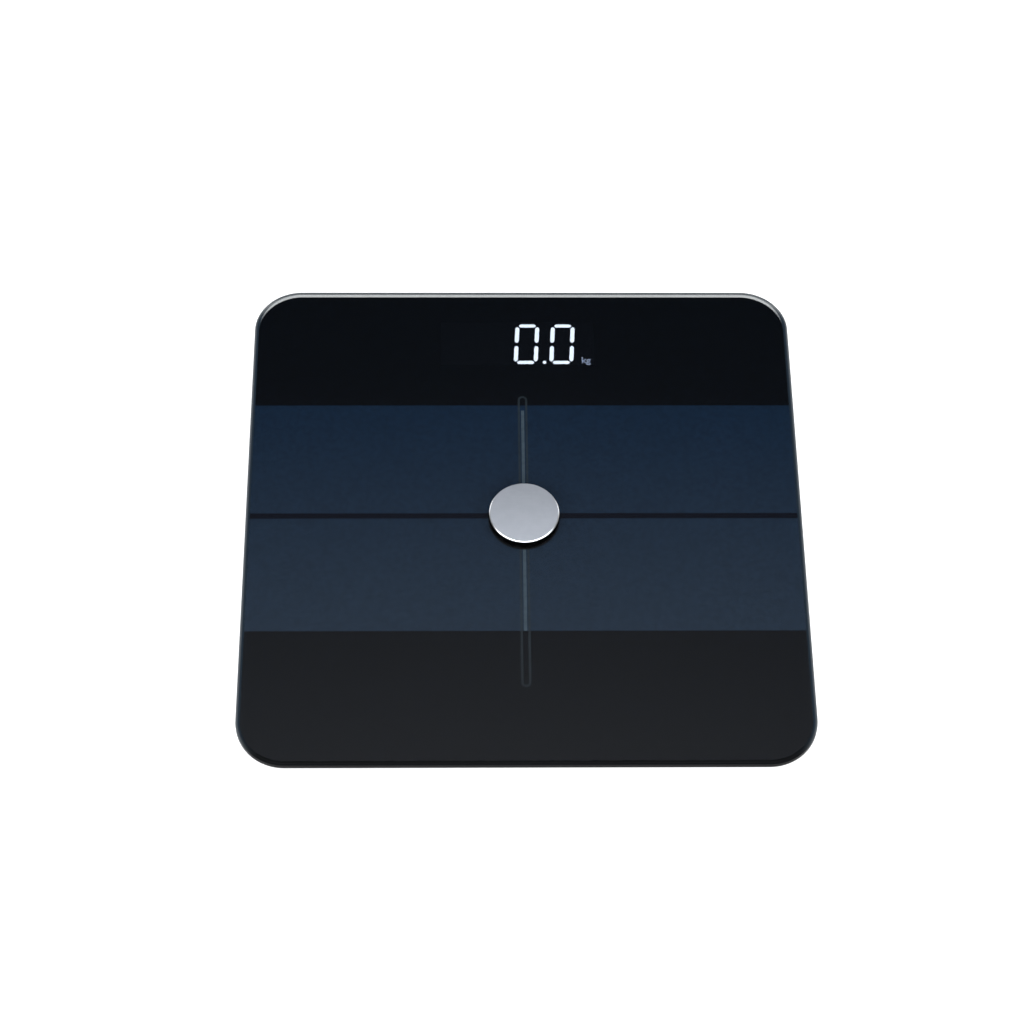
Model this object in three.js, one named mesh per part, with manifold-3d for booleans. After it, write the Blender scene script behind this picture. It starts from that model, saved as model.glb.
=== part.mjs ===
// Digital bathroom scale: a square tempered-glass platform bonded to a shallow moulded tray,
// carried on four load-cell feet, with a hidden LED read-out, a metal centre disc, a unit button
// and a three-cell battery bay in the underside.
//
// Millimetres, +Z up. The origin is on the floor under the middle of the platform. The user stands
// on the -Y side and reads the display, which is on the +Y side.
import * as THREE from "three";
import { mergeVertices } from "three/addons/utils/BufferGeometryUtils.js";
import Module from "manifold-3d";

// ---------------------------------------------------------------- driving dimensions

const GAP = 0.3; // between pieces that seat on, in or against each other

// glass platform
const PLATFORM_WIDTH = 300;
const PLATFORM_DEPTH = 300;
const PLATFORM_CORNER = 26;
const GLASS_THICKNESS = 4;
const TOP_ARRIS = { width: 1.6, drop: 0.9 };
const LOWER_ARRIS = 0.6;

// printed film and bonding tape under the glass
const FILM_THICKNESS = 0.3;
const FILM_INSET = 2.1;
const TAPE_THICKNESS = 0.8;
const TAPE_WIDTH = 6;
const TAPE_MARGIN = 1; // tape edge to lip edge

// metal disc in the middle of the platform
const DISC_RADIUS = 18.8;
const DISC_HEIGHT = 3.3; // glass surface to disc face
const DISC_BEVEL = 0.9;
const DISC_SKIRT = 1.2;
const DISC_PAD_THICKNESS = 0.7;

// moulded tray
const TRAY_FLOOR = 2;
const TRAY_WALL = 2;
const TRAY_FOOTPRINT_INSET = 17; // glass edge to the tray's bottom outline
const TRAY_SHOULDER_INSET = 10; // glass edge to the tray's wall under the lip
const TRAY_LIP_INSET = 5;
const TRAY_LIP_THICKNESS = 1.5;
const TRAY_BOTTOM_CHAMFER = 1.2;
const TRAY_CORNER_LIP = 24;
const TRAY_CORNER_SHOULDER = 21;
const TRAY_CORNER_FLOOR = 18;
const RIB_HEIGHT = 2;
const RIB_THICKNESS = 1.5;
const RIB_SPACING = 40;

// feet and load cells
const FOOT_TRAVEL = 0.5; // post to load cell: stands for how far the cell's tongue bends
const SKIRT_RADIUS = 17;
const SKIRT_WALL = 1.8;
const SKIRT_CLEARANCE = 0.6; // skirt to the hole in the tray
const SNAP_HOLD = 2.2; // how far the snap ring stands out from the skirt
const SNAP_HEIGHT = 1.2;
const SNAP_SLIT = 3;
const SNAP_ROOM = 1; // snap ring to the holder's cavity
const CUP_FLANGE = 2; // how far the cup stands out from the skirt
const CUP_RIM = 3;
const CUP_BASE = 2.6;
const CUP_EDGE = 0.6;
const CUP_FLOOR = 1.3;
const CUP_ROOM = 0.9; // pressed cup to the tray
const PAD_THICKNESS = 2;
const PAD_PROUD = 1; // how far the pad stands out of its cup
const PAD_EDGE = 0.5;
const POST_RADIUS = 4;
const CELL_SIZE = 30;
const CELL_CORNER = 2.5;
const CELL_THICKNESS = 2;
const CELL_HEIGHT = 5; // tray's bottom face to the load cell
const CELL_SLOT = 2;
const CELL_FRAME = 4.2;
const CELL_RELIEF = { width: 1, length: 9, x: 5.5, y: 2 }; // slits that set the tongue's width
const HOLDER_WALL = 1.8;
const HOLDER_RELIEF = { radius: 11, depth: 2.2 };
const HOLDER_POCKET = { inner: 12.5, wall: 2, depth: 4 };
const HOLDER_RIB = 1.6;
const SEAT_RING = { wall: 1.6, height: 2.4, margin: 1.1 }; // margin: ring to the tray's wall

// circuit board, display and their fixings
const DISPLAY_MARGIN = 17.75; // far glass edge to the display
const DISPLAY_OFFSET = -2.4; // middle of the display to the middle of the platform
const DISPLAY_BORDER = { side: 6, end: 3 }; // digit cells to the module's edges
const DISPLAY_THICKNESS = 4.7;
const DIGIT_COUNT = 4;
const DIGIT_SPACING = 6.5;
const DIGIT_WIDTH = 13.5;
const DIGIT_HEIGHT = 27.5;
const DIGIT_STROKE = 2.3;
const DIGIT_SLANT = 0.052; // sideways lean per unit of height
const DIGIT_ROW_SHIFT = { x: -4.8, y: 1 }; // middle of the row of digits from the middle of the module
const SEGMENT_GAP = 0.45;
const SEGMENT_WELL = 0.8;
const GASKET_THICKNESS = 0.5;
const GASKET_WIDTH = 1.6;
const BOARD_DEPTH = 42;
const BOARD_THICKNESS = 1.6;
const BOARD_MARGIN = -0.75; // display's far edge to the board's, less than 0 where the board reaches past it
const SCREW_EDGE = 3.5; // board edge to screw axis
const SCREW_RADIUS = 0.9;
const SCREW_LENGTH = 5.6;
const SCREW_HEAD = { radius: 2, height: 1.3, slot: 0.5, room: 1.5 }; // room: head to the display
const BOSS_RADIUS = 3;
const CHIP = { size: 10, height: 1.4, x: -20, y: -4 };
const RADIO = { width: 16, depth: 12, height: 2.2, x: 14, y: 6 };

// unit button and its switch
const BUTTON_X = 37; // from the board's middle
const BUTTON_Y = -13;
const BUTTON_RADIUS = 4;
const BUTTON_FLANGE = { radius: 5.4, height: 0.6 };
const BUTTON_SINK = 0.2; // tray's bottom face to the button's face
const BUTTON_EDGE = 0.5;
const BUTTON_CLEARANCE = 0.35;
const BUTTON_TRAVEL = 0.6;
const BUTTON_WELL = { radius: 7, depth: 0.6 };
const SWITCH_SIZE = 6;
const SWITCH_HEIGHT = 3;
const PLUNGER_RADIUS = 1.7;
const PLUNGER_LENGTH = 1.3;
const PLUNGER_PROUD = 0.5;

// battery bay, cells, contacts and door
const BAY_Y = 40;
const BATTERY_REST = 0.5; // door's inner face to the cells
const ROWS = [-1, 0, 1]; // three cells side by side
const BATTERY_RADIUS = 5.25;
const BATTERY_LENGTH = 44.5;
const BATTERY_NUB = { radius: 1.9, length: 1 };
const BATTERY_SPACING = 0.7;
const BAY_SIDE_ROOM = 1; // outer battery to bay wall
const BAY_WALL = 3;
const BAY_CEILING = 1.2;
const BAY_HEADROOM = 0.6; // bay ceiling to the printed film, which sets how thin the scale is
const CONTACT_THICKNESS = 0.4;
const CONTACT_HEIGHT = 8;
const CONTACT_WIDTH = 8.4;
const SPRING = { base: 4, tip: 3, wire: 0.4, turns: 3, length: 5.2 };
const DOOR_THICKNESS = 1.7;
const DOOR_LEDGE = 2; // how much of the bay wall the door covers
const DOOR_CORNER = 2;
const DOOR_TAB = { width: 8, hold: 2.2, height: 1.2, spread: 28, root: 2 };
const LATCH = { width: 12, height: 3.4, wall: 1.2, nub: 0.9, reach: 3.4 };
const FINGER_NOTCH = { width: 18, depth: 5 };

// electrode contacts that reach the platform's conductive coating from below
const ELECTRODE_EDGE = 22; // glass edge to contact tip
const ELECTRODE_Y = 30;
const ELECTRODE_WIDTH = 5;
const ELECTRODE_WINDOW = 8;
const ELECTRODE_POST = { width: 5, depth: 7 };
const ELECTRODE_BLADE = { thickness: 0.4, rise: 5.4, foot: 6, ramp: 4, tip: 2.4 };

// wires
const CABLE_RADIUS = 1.1;
const LEAD_RADIUS = 0.7;

// ---------------------------------------------------------------- levels and sizes worked out from them

const CUP_BOTTOM = PAD_THICKNESS - PAD_PROUD;
const TRAY_BOTTOM = CUP_BOTTOM + CUP_BASE + FOOT_TRAVEL + CUP_ROOM;
const FLOOR_TOP = TRAY_BOTTOM + TRAY_FLOOR;
const CELL_BOTTOM = TRAY_BOTTOM + CELL_HEIGHT;
const CELL_TOP = CELL_BOTTOM + CELL_THICKNESS;
const CELL_LEVEL = (CELL_BOTTOM + CELL_TOP) / 2;
const WIRE_LEVEL = FLOOR_TOP + RIB_HEIGHT + 2 * GAP + CABLE_RADIUS;
const DOOR_TOP = TRAY_BOTTOM + DOOR_THICKNESS;
const BATTERY_LEVEL = DOOR_TOP + BATTERY_REST + BATTERY_RADIUS;
const BAY_ROOF = BATTERY_LEVEL + BATTERY_RADIUS + 2 * GAP;
const UNDER_FILM = BAY_ROOF + BAY_CEILING + BAY_HEADROOM;
const FILM_BOTTOM = UNDER_FILM + GAP;
const FILM_TOP = FILM_BOTTOM + FILM_THICKNESS;
const GLASS_BOTTOM = FILM_TOP + GAP;
const GLASS_TOP = GLASS_BOTTOM + GLASS_THICKNESS;
const TAPE_TOP = FILM_BOTTOM - GAP;
const TAPE_BOTTOM = TAPE_TOP - TAPE_THICKNESS;
const RIM_TOP = TAPE_BOTTOM - GAP;
const MODULE_TOP = UNDER_FILM - GASKET_THICKNESS - GAP;
const MODULE_BOTTOM = MODULE_TOP - DISPLAY_THICKNESS;
const BOARD_TOP = MODULE_BOTTOM - GAP;
const BOARD_BOTTOM = BOARD_TOP - BOARD_THICKNESS;
const BOARD_LEVEL = (BOARD_TOP + BOARD_BOTTOM) / 2;
const CHIP_TOP = BOARD_BOTTOM - GAP; // parts mounted under the board
const SWITCH_BOTTOM = CHIP_TOP - SWITCH_HEIGHT;
const PLUNGER_BOTTOM = SWITCH_BOTTOM - PLUNGER_PROUD;
const PLUNGER_TOP = PLUNGER_BOTTOM + PLUNGER_LENGTH;
const STEM_TOP = PLUNGER_BOTTOM - GAP;
const TAB_BOTTOM = FLOOR_TOP + GAP;
const TAB_TOP = TAB_BOTTOM + DOOR_TAB.height;

const SNAP_RADIUS = SKIRT_RADIUS + SNAP_HOLD;
const CUP_RADIUS = SKIRT_RADIUS + CUP_FLANGE;
const PAD_RADIUS = CUP_RADIUS - CUP_RIM;
const HOLDER_CAVITY = SNAP_RADIUS + SNAP_ROOM;
const CELL_REACH = Math.SQRT2 * (CELL_SIZE / 2 - CELL_CORNER) + CELL_CORNER + GAP;
const HOLDER_RADIUS = Math.max(HOLDER_CAVITY, CELL_REACH) + HOLDER_WALL;
const SEAT_RADIUS = HOLDER_RADIUS + GAP + SEAT_RING.wall;
const FOOT_INSET = TRAY_FOOTPRINT_INSET + TRAY_WALL + SEAT_RING.margin + SEAT_RADIUS;
const DIGIT_PITCH = DIGIT_WIDTH + DIGIT_SPACING;
const DISPLAY_WIDTH = DIGIT_COUNT * DIGIT_PITCH + 2 * DISPLAY_BORDER.side;
const DISPLAY_DEPTH = DIGIT_HEIGHT + 2 * DISPLAY_BORDER.end;
const BOARD_WIDTH = DISPLAY_WIDTH + 2 * (SCREW_EDGE + SCREW_HEAD.radius + SCREW_HEAD.room);
const BATTERY_PITCH = 2 * BATTERY_RADIUS + BATTERY_SPACING;
const BAY_LENGTH = BATTERY_LENGTH + SPRING.length + 2 * CONTACT_THICKNESS + 4 * GAP;
const BAY_WIDTH = (ROWS.length - 1) * BATTERY_PITCH + 2 * (BATTERY_RADIUS + BAY_SIDE_ROOM);
const DOOR_LENGTH = BAY_LENGTH + 2 * DOOR_LEDGE - 2 * GAP;
const DOOR_WIDTH = BAY_WIDTH + 2 * DOOR_LEDGE - 2 * GAP;
const TAB_REACH = DOOR_LEDGE + DOOR_TAB.hold; // bay wall's inner face to the tab's tip

const HALF_WIDTH = PLATFORM_WIDTH / 2;
const HALF_DEPTH = PLATFORM_DEPTH / 2;
const FOOT_X = HALF_WIDTH - FOOT_INSET;
const FOOT_Y = HALF_DEPTH - FOOT_INSET;
const DISPLAY_Y = HALF_DEPTH - DISPLAY_MARGIN - DISPLAY_DEPTH / 2;
const BOARD_X = DISPLAY_OFFSET;
const BOARD_Y = HALF_DEPTH - DISPLAY_MARGIN - BOARD_MARGIN - BOARD_DEPTH / 2;

const CORNERS = [
  { name: "front_left", x: -1, y: -1 },
  { name: "front_right", x: 1, y: -1 },
  { name: "rear_left", x: -1, y: 1 },
  { name: "rear_right", x: 1, y: 1 },
];

// ---------------------------------------------------------------- shapes

const wasm = await Module();
wasm.setup();

function toSolid(geometry) {
  const bare = geometry.clone();
  bare.deleteAttribute("normal");
  bare.deleteAttribute("uv");
  const merged = mergeVertices(bare, 1e-4);
  return new wasm.Manifold(
    new wasm.Mesh({
      numProp: 3,
      vertProperties: merged.attributes.position.array,
      triVerts: new Uint32Array(merged.index.array),
    }),
  );
}

function toGeometry(solid) {
  const mesh = solid.getMesh();
  const geometry = new THREE.BufferGeometry();
  geometry.setAttribute("position", new THREE.BufferAttribute(new Float32Array(mesh.vertProperties), 3));
  geometry.setIndex(new THREE.BufferAttribute(new Uint32Array(mesh.triVerts), 1));
  geometry.computeVertexNormals();
  return geometry;
}

// Cuts every tool out of the base, after joining the additions to it.
function carved(base, additions, tools) {
  let solid = toSolid(base);
  for (const piece of additions) solid = solid.add(toSolid(piece));
  for (const tool of tools) solid = solid.subtract(toSolid(tool));
  return toGeometry(solid);
}

function box(width, depth, z0, z1, x = 0, y = 0) {
  return new THREE.BoxGeometry(width, depth, z1 - z0).translate(x, y, (z0 + z1) / 2);
}

function rod(radius, z0, z1, x = 0, y = 0, sides = 24) {
  return new THREE.CylinderGeometry(radius, radius, z1 - z0, sides)
    .rotateX(Math.PI / 2)
    .translate(x, y, (z0 + z1) / 2);
}

// A turned piece from [radius, height] pairs, starting and ending on the axis, bottom first.
function turned(profile, sides = 24) {
  const points = profile.map(([radius, height]) => new THREE.Vector2(radius, height));
  return new THREE.LatheGeometry(points, sides).rotateX(Math.PI / 2);
}

// Points of a rectangle with round corners, counter-clockwise, centred on the origin.
function outline(width, depth, radius, steps = 7) {
  const points = [];
  const centres = [
    [width / 2 - radius, depth / 2 - radius],
    [radius - width / 2, depth / 2 - radius],
    [radius - width / 2, radius - depth / 2],
    [width / 2 - radius, radius - depth / 2],
  ];
  centres.forEach(([x, y], quarter) => {
    for (let step = 0; step <= steps; step += 1) {
      const angle = ((quarter + step / steps) * Math.PI) / 2;
      points.push(new THREE.Vector2(x + radius * Math.cos(angle), y + radius * Math.sin(angle)));
    }
  });
  return points;
}

function plate(points, z0, z1, holes = []) {
  const shape = new THREE.Shape(points);
  for (const hole of holes) shape.holes.push(new THREE.Path(hole));
  return new THREE.ExtrudeGeometry(shape, { depth: z1 - z0, bevelEnabled: false }).translate(0, 0, z0);
}

// A slab with round corners whose outline changes with height: each level is {z, inset, radius},
// with the inset taken from the platform's edge.
function stacked(levels, steps = 7) {
  const rings = levels.map(({ z, inset, radius }) =>
    outline(PLATFORM_WIDTH - 2 * inset, PLATFORM_DEPTH - 2 * inset, radius, steps).map(
      (point) => new THREE.Vector3(point.x, point.y, z),
    ),
  );
  const count = rings[0].length;
  const index = [];
  for (let ring = 0; ring < rings.length - 1; ring += 1) {
    for (let i = 0; i < count; i += 1) {
      const a = ring * count + i;
      const b = ring * count + ((i + 1) % count);
      index.push(a, b, b + count, a, b + count, a + count);
    }
  }
  const top = (rings.length - 1) * count;
  for (let i = 1; i < count - 1; i += 1) {
    index.push(0, i + 1, i);
    index.push(top, top + i, top + i + 1);
  }
  const geometry = new THREE.BufferGeometry().setFromPoints(rings.flat());
  geometry.setIndex(index);
  return geometry.toNonIndexed();
}

// A round wire along a smooth curve through the points.
function wire(points, radius, steps) {
  const curve = new THREE.CatmullRomCurve3(points, false, "centripetal");
  const section = new THREE.Shape().absarc(0, 0, radius, 0, 2 * Math.PI);
  return new THREE.ExtrudeGeometry(section, {
    steps,
    extrudePath: curve,
    curveSegments: 3,
    bevelEnabled: false,
  });
}

function at(x, y, z) {
  return new THREE.Vector3(x, y, z);
}

// ---------------------------------------------------------------- materials

function finish(color, roughness, metalness = 0) {
  return new THREE.MeshStandardMaterial({ color, roughness, metalness });
}

const platformGlass = finish(0x16202c, 0.06);
const blackPrint = finish(0x0e1014, 0.4);
const satinAluminium = finish(0xaab0ba, 0.32, 1);
const trayPlastic = finish(0x2b2d30, 0.55);
const blackFoam = finish(0x17181a, 0.95);
const footPlastic = finish(0x232527, 0.5);
const footRubber = finish(0x3a3c3e, 0.85);
const springSteel = finish(0xb4b6b8, 0.35, 1);
const whitePlastic = finish(0xd9dad8, 0.6);
const boardLaminate = finish(0x1c5a38, 0.45);
const chipResin = finish(0x1a1b1d, 0.6);
const blackPlastic = finish(0x141517, 0.5);
const nickel = finish(0xc4c2bb, 0.25, 1);
const cellSleeve = finish(0x3a6f9a, 0.35);
const redLead = finish(0xa32420, 0.5);
const blackLead = finish(0x151515, 0.5);
const greyLead = finish(0x8c8f92, 0.55);

const scale = new THREE.Group();

function add(name, geometry, material) {
  const mesh = new THREE.Mesh(geometry, material);
  mesh.name = name;
  scale.add(mesh);
  return mesh;
}

// ---------------------------------------------------------------- platform

function glassPlatform() {
  return stacked([
    { z: GLASS_BOTTOM, inset: LOWER_ARRIS, radius: PLATFORM_CORNER - LOWER_ARRIS },
    { z: GLASS_BOTTOM + LOWER_ARRIS, inset: 0, radius: PLATFORM_CORNER },
    { z: GLASS_TOP - TOP_ARRIS.drop, inset: 0, radius: PLATFORM_CORNER },
    { z: GLASS_TOP, inset: TOP_ARRIS.width, radius: PLATFORM_CORNER - TOP_ARRIS.width },
  ]);
}

// Film printed black on its upper side, with a window over the display and one at each electrode contact.
function printedFilm() {
  const edge = outline(
    PLATFORM_WIDTH - 2 * FILM_INSET,
    PLATFORM_DEPTH - 2 * FILM_INSET,
    PLATFORM_CORNER - FILM_INSET,
  );
  const windowWidth = DISPLAY_WIDTH - 2 * GASKET_WIDTH;
  const windowDepth = DISPLAY_DEPTH - 2 * GASKET_WIDTH;
  const windows = [box(windowWidth, windowDepth, FILM_BOTTOM - 1, FILM_TOP + 1, DISPLAY_OFFSET, DISPLAY_Y)];
  for (const corner of CORNERS) {
    const x = corner.x * (HALF_WIDTH - ELECTRODE_EDGE);
    const y = corner.y * ELECTRODE_Y;
    windows.push(box(ELECTRODE_WINDOW, ELECTRODE_WINDOW, FILM_BOTTOM - 1, FILM_TOP + 1, x, y));
  }
  return carved(plate(edge, FILM_BOTTOM, FILM_TOP), [], windows);
}

function bondingTape() {
  const outer = TRAY_LIP_INSET + TAPE_MARGIN;
  const inner = outer + TAPE_WIDTH;
  const corner = TRAY_CORNER_LIP - TAPE_MARGIN;
  const edge = outline(PLATFORM_WIDTH - 2 * outer, PLATFORM_DEPTH - 2 * outer, corner);
  const hole = outline(PLATFORM_WIDTH - 2 * inner, PLATFORM_DEPTH - 2 * inner, corner - TAPE_WIDTH);
  return plate(edge, TAPE_BOTTOM, TAPE_TOP, [hole]);
}

// Bevelled metal cap whose skirt hides the adhesive pad that holds it to the glass.
function centreDisc() {
  const foot = GLASS_TOP + GAP;
  const face = GLASS_TOP + DISC_HEIGHT;
  const recess = foot + DISC_PAD_THICKNESS + GAP;
  return turned(
    [
      [0, recess],
      [DISC_RADIUS - DISC_SKIRT, recess],
      [DISC_RADIUS - DISC_SKIRT, foot],
      [DISC_RADIUS, foot],
      [DISC_RADIUS, face - DISC_BEVEL],
      [DISC_RADIUS - DISC_BEVEL, face],
      [0, face],
    ],
    48,
  );
}

function discPad() {
  const foot = GLASS_TOP + GAP;
  return rod(DISC_RADIUS - DISC_SKIRT - GAP, foot, foot + DISC_PAD_THICKNESS, 0, 0, 48);
}

add("glass_platform", glassPlatform(), platformGlass);
add("printed_film", printedFilm(), blackPrint);
add("bonding_tape", bondingTape(), blackFoam);
add("centre_disc", centreDisc(), satinAluminium);
add("disc_adhesive_pad", discPad(), blackFoam);

// ---------------------------------------------------------------- tray

const skirtHole = SKIRT_RADIUS + SKIRT_CLEARANCE;
const buttonHole = BUTTON_RADIUS + BUTTON_CLEARANCE;
const buttonAt = { x: BOARD_X + BUTTON_X, y: BOARD_Y + BUTTON_Y };
const screwsAt = CORNERS.map((corner) => ({
  name: corner.name,
  x: BOARD_X + corner.x * (BOARD_WIDTH / 2 - SCREW_EDGE),
  y: BOARD_Y + corner.y * (BOARD_DEPTH / 2 - SCREW_EDGE),
}));
const postTop = GLASS_BOTTOM - GAP - ELECTRODE_BLADE.rise - GAP;
const bladeFootX = HALF_WIDTH - ELECTRODE_EDGE - ELECTRODE_BLADE.tip / 2 - ELECTRODE_BLADE.ramp;
const postX = bladeFootX - ELECTRODE_BLADE.foot / 2;
const leadHoleRadius = LEAD_RADIUS + 2 * GAP;
const leadHoleLevel = BATTERY_LEVEL + 1.5;

function trayShell() {
  const shoulder = RIM_TOP - TRAY_LIP_THICKNESS;
  const chamfer = TRAY_BOTTOM_CHAMFER;
  const outer = stacked([
    { z: TRAY_BOTTOM, inset: TRAY_FOOTPRINT_INSET + chamfer, radius: TRAY_CORNER_FLOOR - chamfer },
    { z: TRAY_BOTTOM + chamfer, inset: TRAY_FOOTPRINT_INSET, radius: TRAY_CORNER_FLOOR },
    { z: shoulder, inset: TRAY_SHOULDER_INSET, radius: TRAY_CORNER_SHOULDER },
    { z: shoulder, inset: TRAY_LIP_INSET, radius: TRAY_CORNER_LIP },
    { z: RIM_TOP, inset: TRAY_LIP_INSET, radius: TRAY_CORNER_LIP },
  ]);
  const cavity = stacked([
    { z: FLOOR_TOP, inset: TRAY_FOOTPRINT_INSET + TRAY_WALL, radius: TRAY_CORNER_FLOOR - TRAY_WALL },
    { z: shoulder, inset: TRAY_SHOULDER_INSET + TRAY_WALL, radius: TRAY_CORNER_SHOULDER - TRAY_WALL },
    { z: RIM_TOP + 1, inset: TRAY_SHOULDER_INSET + TRAY_WALL, radius: TRAY_CORNER_SHOULDER - TRAY_WALL },
  ]);
  return carved(outer, [], [cavity]);
}

function trayRibs() {
  const ribs = [];
  const reach = FOOT_Y - SEAT_RADIUS - 2;
  const far = BAY_Y - BAY_WIDTH / 2 - BAY_WALL;
  const length = far + reach + 1;
  const top = FLOOR_TOP + RIB_HEIGHT;
  for (const column of [-1.5, -0.5, 0.5, 1.5]) {
    const x = column * RIB_SPACING;
    ribs.push(box(RIB_THICKNESS, length, FLOOR_TOP - 1, top, x, length / 2 - reach));
  }
  for (const y of [-reach, -reach / 2, 0]) {
    ribs.push(box(3 * RIB_SPACING + RIB_THICKNESS, RIB_THICKNESS, FLOOR_TOP - 1, top, 0, y));
  }
  return ribs;
}

function seatRing(x, y) {
  const inner = HOLDER_RADIUS + GAP;
  const ring = rod(SEAT_RADIUS, FLOOR_TOP - 1, FLOOR_TOP + SEAT_RING.height, x, y, 32);
  return carved(ring, [], [rod(inner, FLOOR_TOP - 2, FLOOR_TOP + SEAT_RING.height + 1, x, y, 32)]);
}

function baseTray() {
  const additions = trayRibs();
  const cuts = [];
  for (const corner of CORNERS) {
    const x = corner.x * FOOT_X;
    const y = corner.y * FOOT_Y;
    additions.push(seatRing(x, y));
    cuts.push(rod(skirtHole, TRAY_BOTTOM - 1, FLOOR_TOP + 1, x, y, 32));
    const px = corner.x * postX;
    const py = corner.y * ELECTRODE_Y;
    additions.push(box(ELECTRODE_POST.width, ELECTRODE_POST.depth, FLOOR_TOP - 1, postTop, px, py));
  }
  for (const screw of screwsAt) {
    additions.push(rod(BOSS_RADIUS, FLOOR_TOP - 1, BOARD_BOTTOM - GAP, screw.x, screw.y, 16));
    cuts.push(rod(SCREW_RADIUS + GAP, FLOOR_TOP, BOARD_BOTTOM + 1, screw.x, screw.y, 12));
  }
  // battery box: four walls and a roof, open below
  const boxLength = BAY_LENGTH + 2 * BAY_WALL;
  const boxWidth = BAY_WIDTH + 2 * BAY_WALL;
  additions.push(box(boxLength, boxWidth, FLOOR_TOP - 1, BAY_ROOF + BAY_CEILING, 0, BAY_Y));
  cuts.push(box(BAY_LENGTH, BAY_WIDTH, TRAY_BOTTOM - 1, BAY_ROOF, 0, BAY_Y));
  const mouth = outline(DOOR_LENGTH + 2 * GAP, DOOR_WIDTH + 2 * GAP, DOOR_CORNER + GAP, 4);
  cuts.push(plate(mouth, TRAY_BOTTOM - 1, FLOOR_TOP).translate(0, BAY_Y, 0));
  // slots for the door's tabs, and the latch's notch with the finger scoop outside it
  const tabSide = BAY_Y - BAY_WIDTH / 2;
  // the tab's tip swings round the door's lower edge, which is one gap inside the ledge
  const swing = Math.hypot(DOOR_TAB.hold + GAP, TAB_TOP - TRAY_BOTTOM);
  for (const side of [-1, 1]) {
    const x = (side * DOOR_TAB.spread) / 2;
    const reach = 2 * (TAB_REACH + GAP);
    cuts.push(box(DOOR_TAB.width + 2 * GAP, reach, FLOOR_TOP, TRAY_BOTTOM + swing + GAP, x, tabSide));
  }
  const latchSide = BAY_Y + BAY_WIDTH / 2;
  const notchTop = FLOOR_TOP + LATCH.height + 2 * GAP;
  cuts.push(box(LATCH.width + 2 * GAP, 2 * LATCH.reach, TRAY_BOTTOM - 1, notchTop, 0, latchSide));
  const scoop = new THREE.CylinderGeometry(FINGER_NOTCH.width / 2, FINGER_NOTCH.width / 2, TRAY_FLOOR, 24)
    .rotateX(Math.PI / 2)
    .scale(1, (2 * FINGER_NOTCH.depth) / FINGER_NOTCH.width, 1)
    .translate(0, latchSide + DOOR_LEDGE, TRAY_BOTTOM);
  cuts.push(scoop);
  // wire holes through the battery box's end walls
  const rowEnd = ROWS.at(-1) * BATTERY_PITCH;
  for (const side of [-1, 1]) {
    const through = new THREE.CylinderGeometry(leadHoleRadius, leadHoleRadius, BAY_WALL + 2, 12)
      .rotateZ(Math.PI / 2)
      .translate(side * (BAY_LENGTH / 2 + BAY_WALL / 2), BAY_Y + side * rowEnd, leadHoleLevel);
    cuts.push(through);
  }
  const wellTop = TRAY_BOTTOM + BUTTON_WELL.depth;
  cuts.push(rod(buttonHole, TRAY_BOTTOM - 1, FLOOR_TOP + 1, buttonAt.x, buttonAt.y, 20));
  cuts.push(rod(BUTTON_WELL.radius, TRAY_BOTTOM - 1, wellTop, buttonAt.x, buttonAt.y, 24));
  return carved(trayShell(), additions, cuts);
}

add("base_tray", baseTray(), trayPlastic);

// ---------------------------------------------------------------- feet and load cells

// Rubber pad glued into the cup; its lower face is what the scale stands on.
function footPad() {
  return turned([
    [0, 0],
    [PAD_RADIUS - PAD_EDGE, 0],
    [PAD_RADIUS, PAD_EDGE],
    [PAD_RADIUS, PAD_THICKNESS],
    [0, PAD_THICKNESS],
  ]);
}

// Cup with a guide skirt split into four snap fingers, and a post that presses the load cell's tongue.
function footCup() {
  const rim = CUP_BOTTOM;
  const recess = PAD_THICKNESS + GAP;
  const top = rim + CUP_BASE;
  const floor = recess + CUP_FLOOR;
  const snap = FLOOR_TOP + GAP;
  const turnedCup = turned(
    [
      [0, recess],
      [PAD_RADIUS + GAP, recess],
      [PAD_RADIUS + GAP, rim],
      [CUP_RADIUS - CUP_EDGE, rim],
      [CUP_RADIUS, rim + CUP_EDGE],
      [CUP_RADIUS, top - CUP_EDGE],
      [CUP_RADIUS - CUP_EDGE, top],
      [SKIRT_RADIUS, top],
      [SKIRT_RADIUS, snap],
      [SNAP_RADIUS, snap],
      [SNAP_RADIUS - SNAP_HEIGHT, snap + SNAP_HEIGHT],
      [SKIRT_RADIUS - SKIRT_WALL, snap + SNAP_HEIGHT],
      [SKIRT_RADIUS - SKIRT_WALL, floor],
      [POST_RADIUS + 1, floor],
      [POST_RADIUS, CELL_BOTTOM - FOOT_TRAVEL],
      [0, CELL_BOTTOM - FOOT_TRAVEL],
    ],
    24,
  );
  const slits = [0, 1].map((turn) =>
    carved(
      box(3 * CUP_RADIUS, SNAP_SLIT, floor, snap + SNAP_HEIGHT + 1),
      [],
      [rod(POST_RADIUS + 2, floor - 1, snap + SNAP_HEIGHT + 2)],
    ).rotateZ((turn * Math.PI) / 2),
  );
  return carved(turnedCup, [], slits);
}

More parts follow.
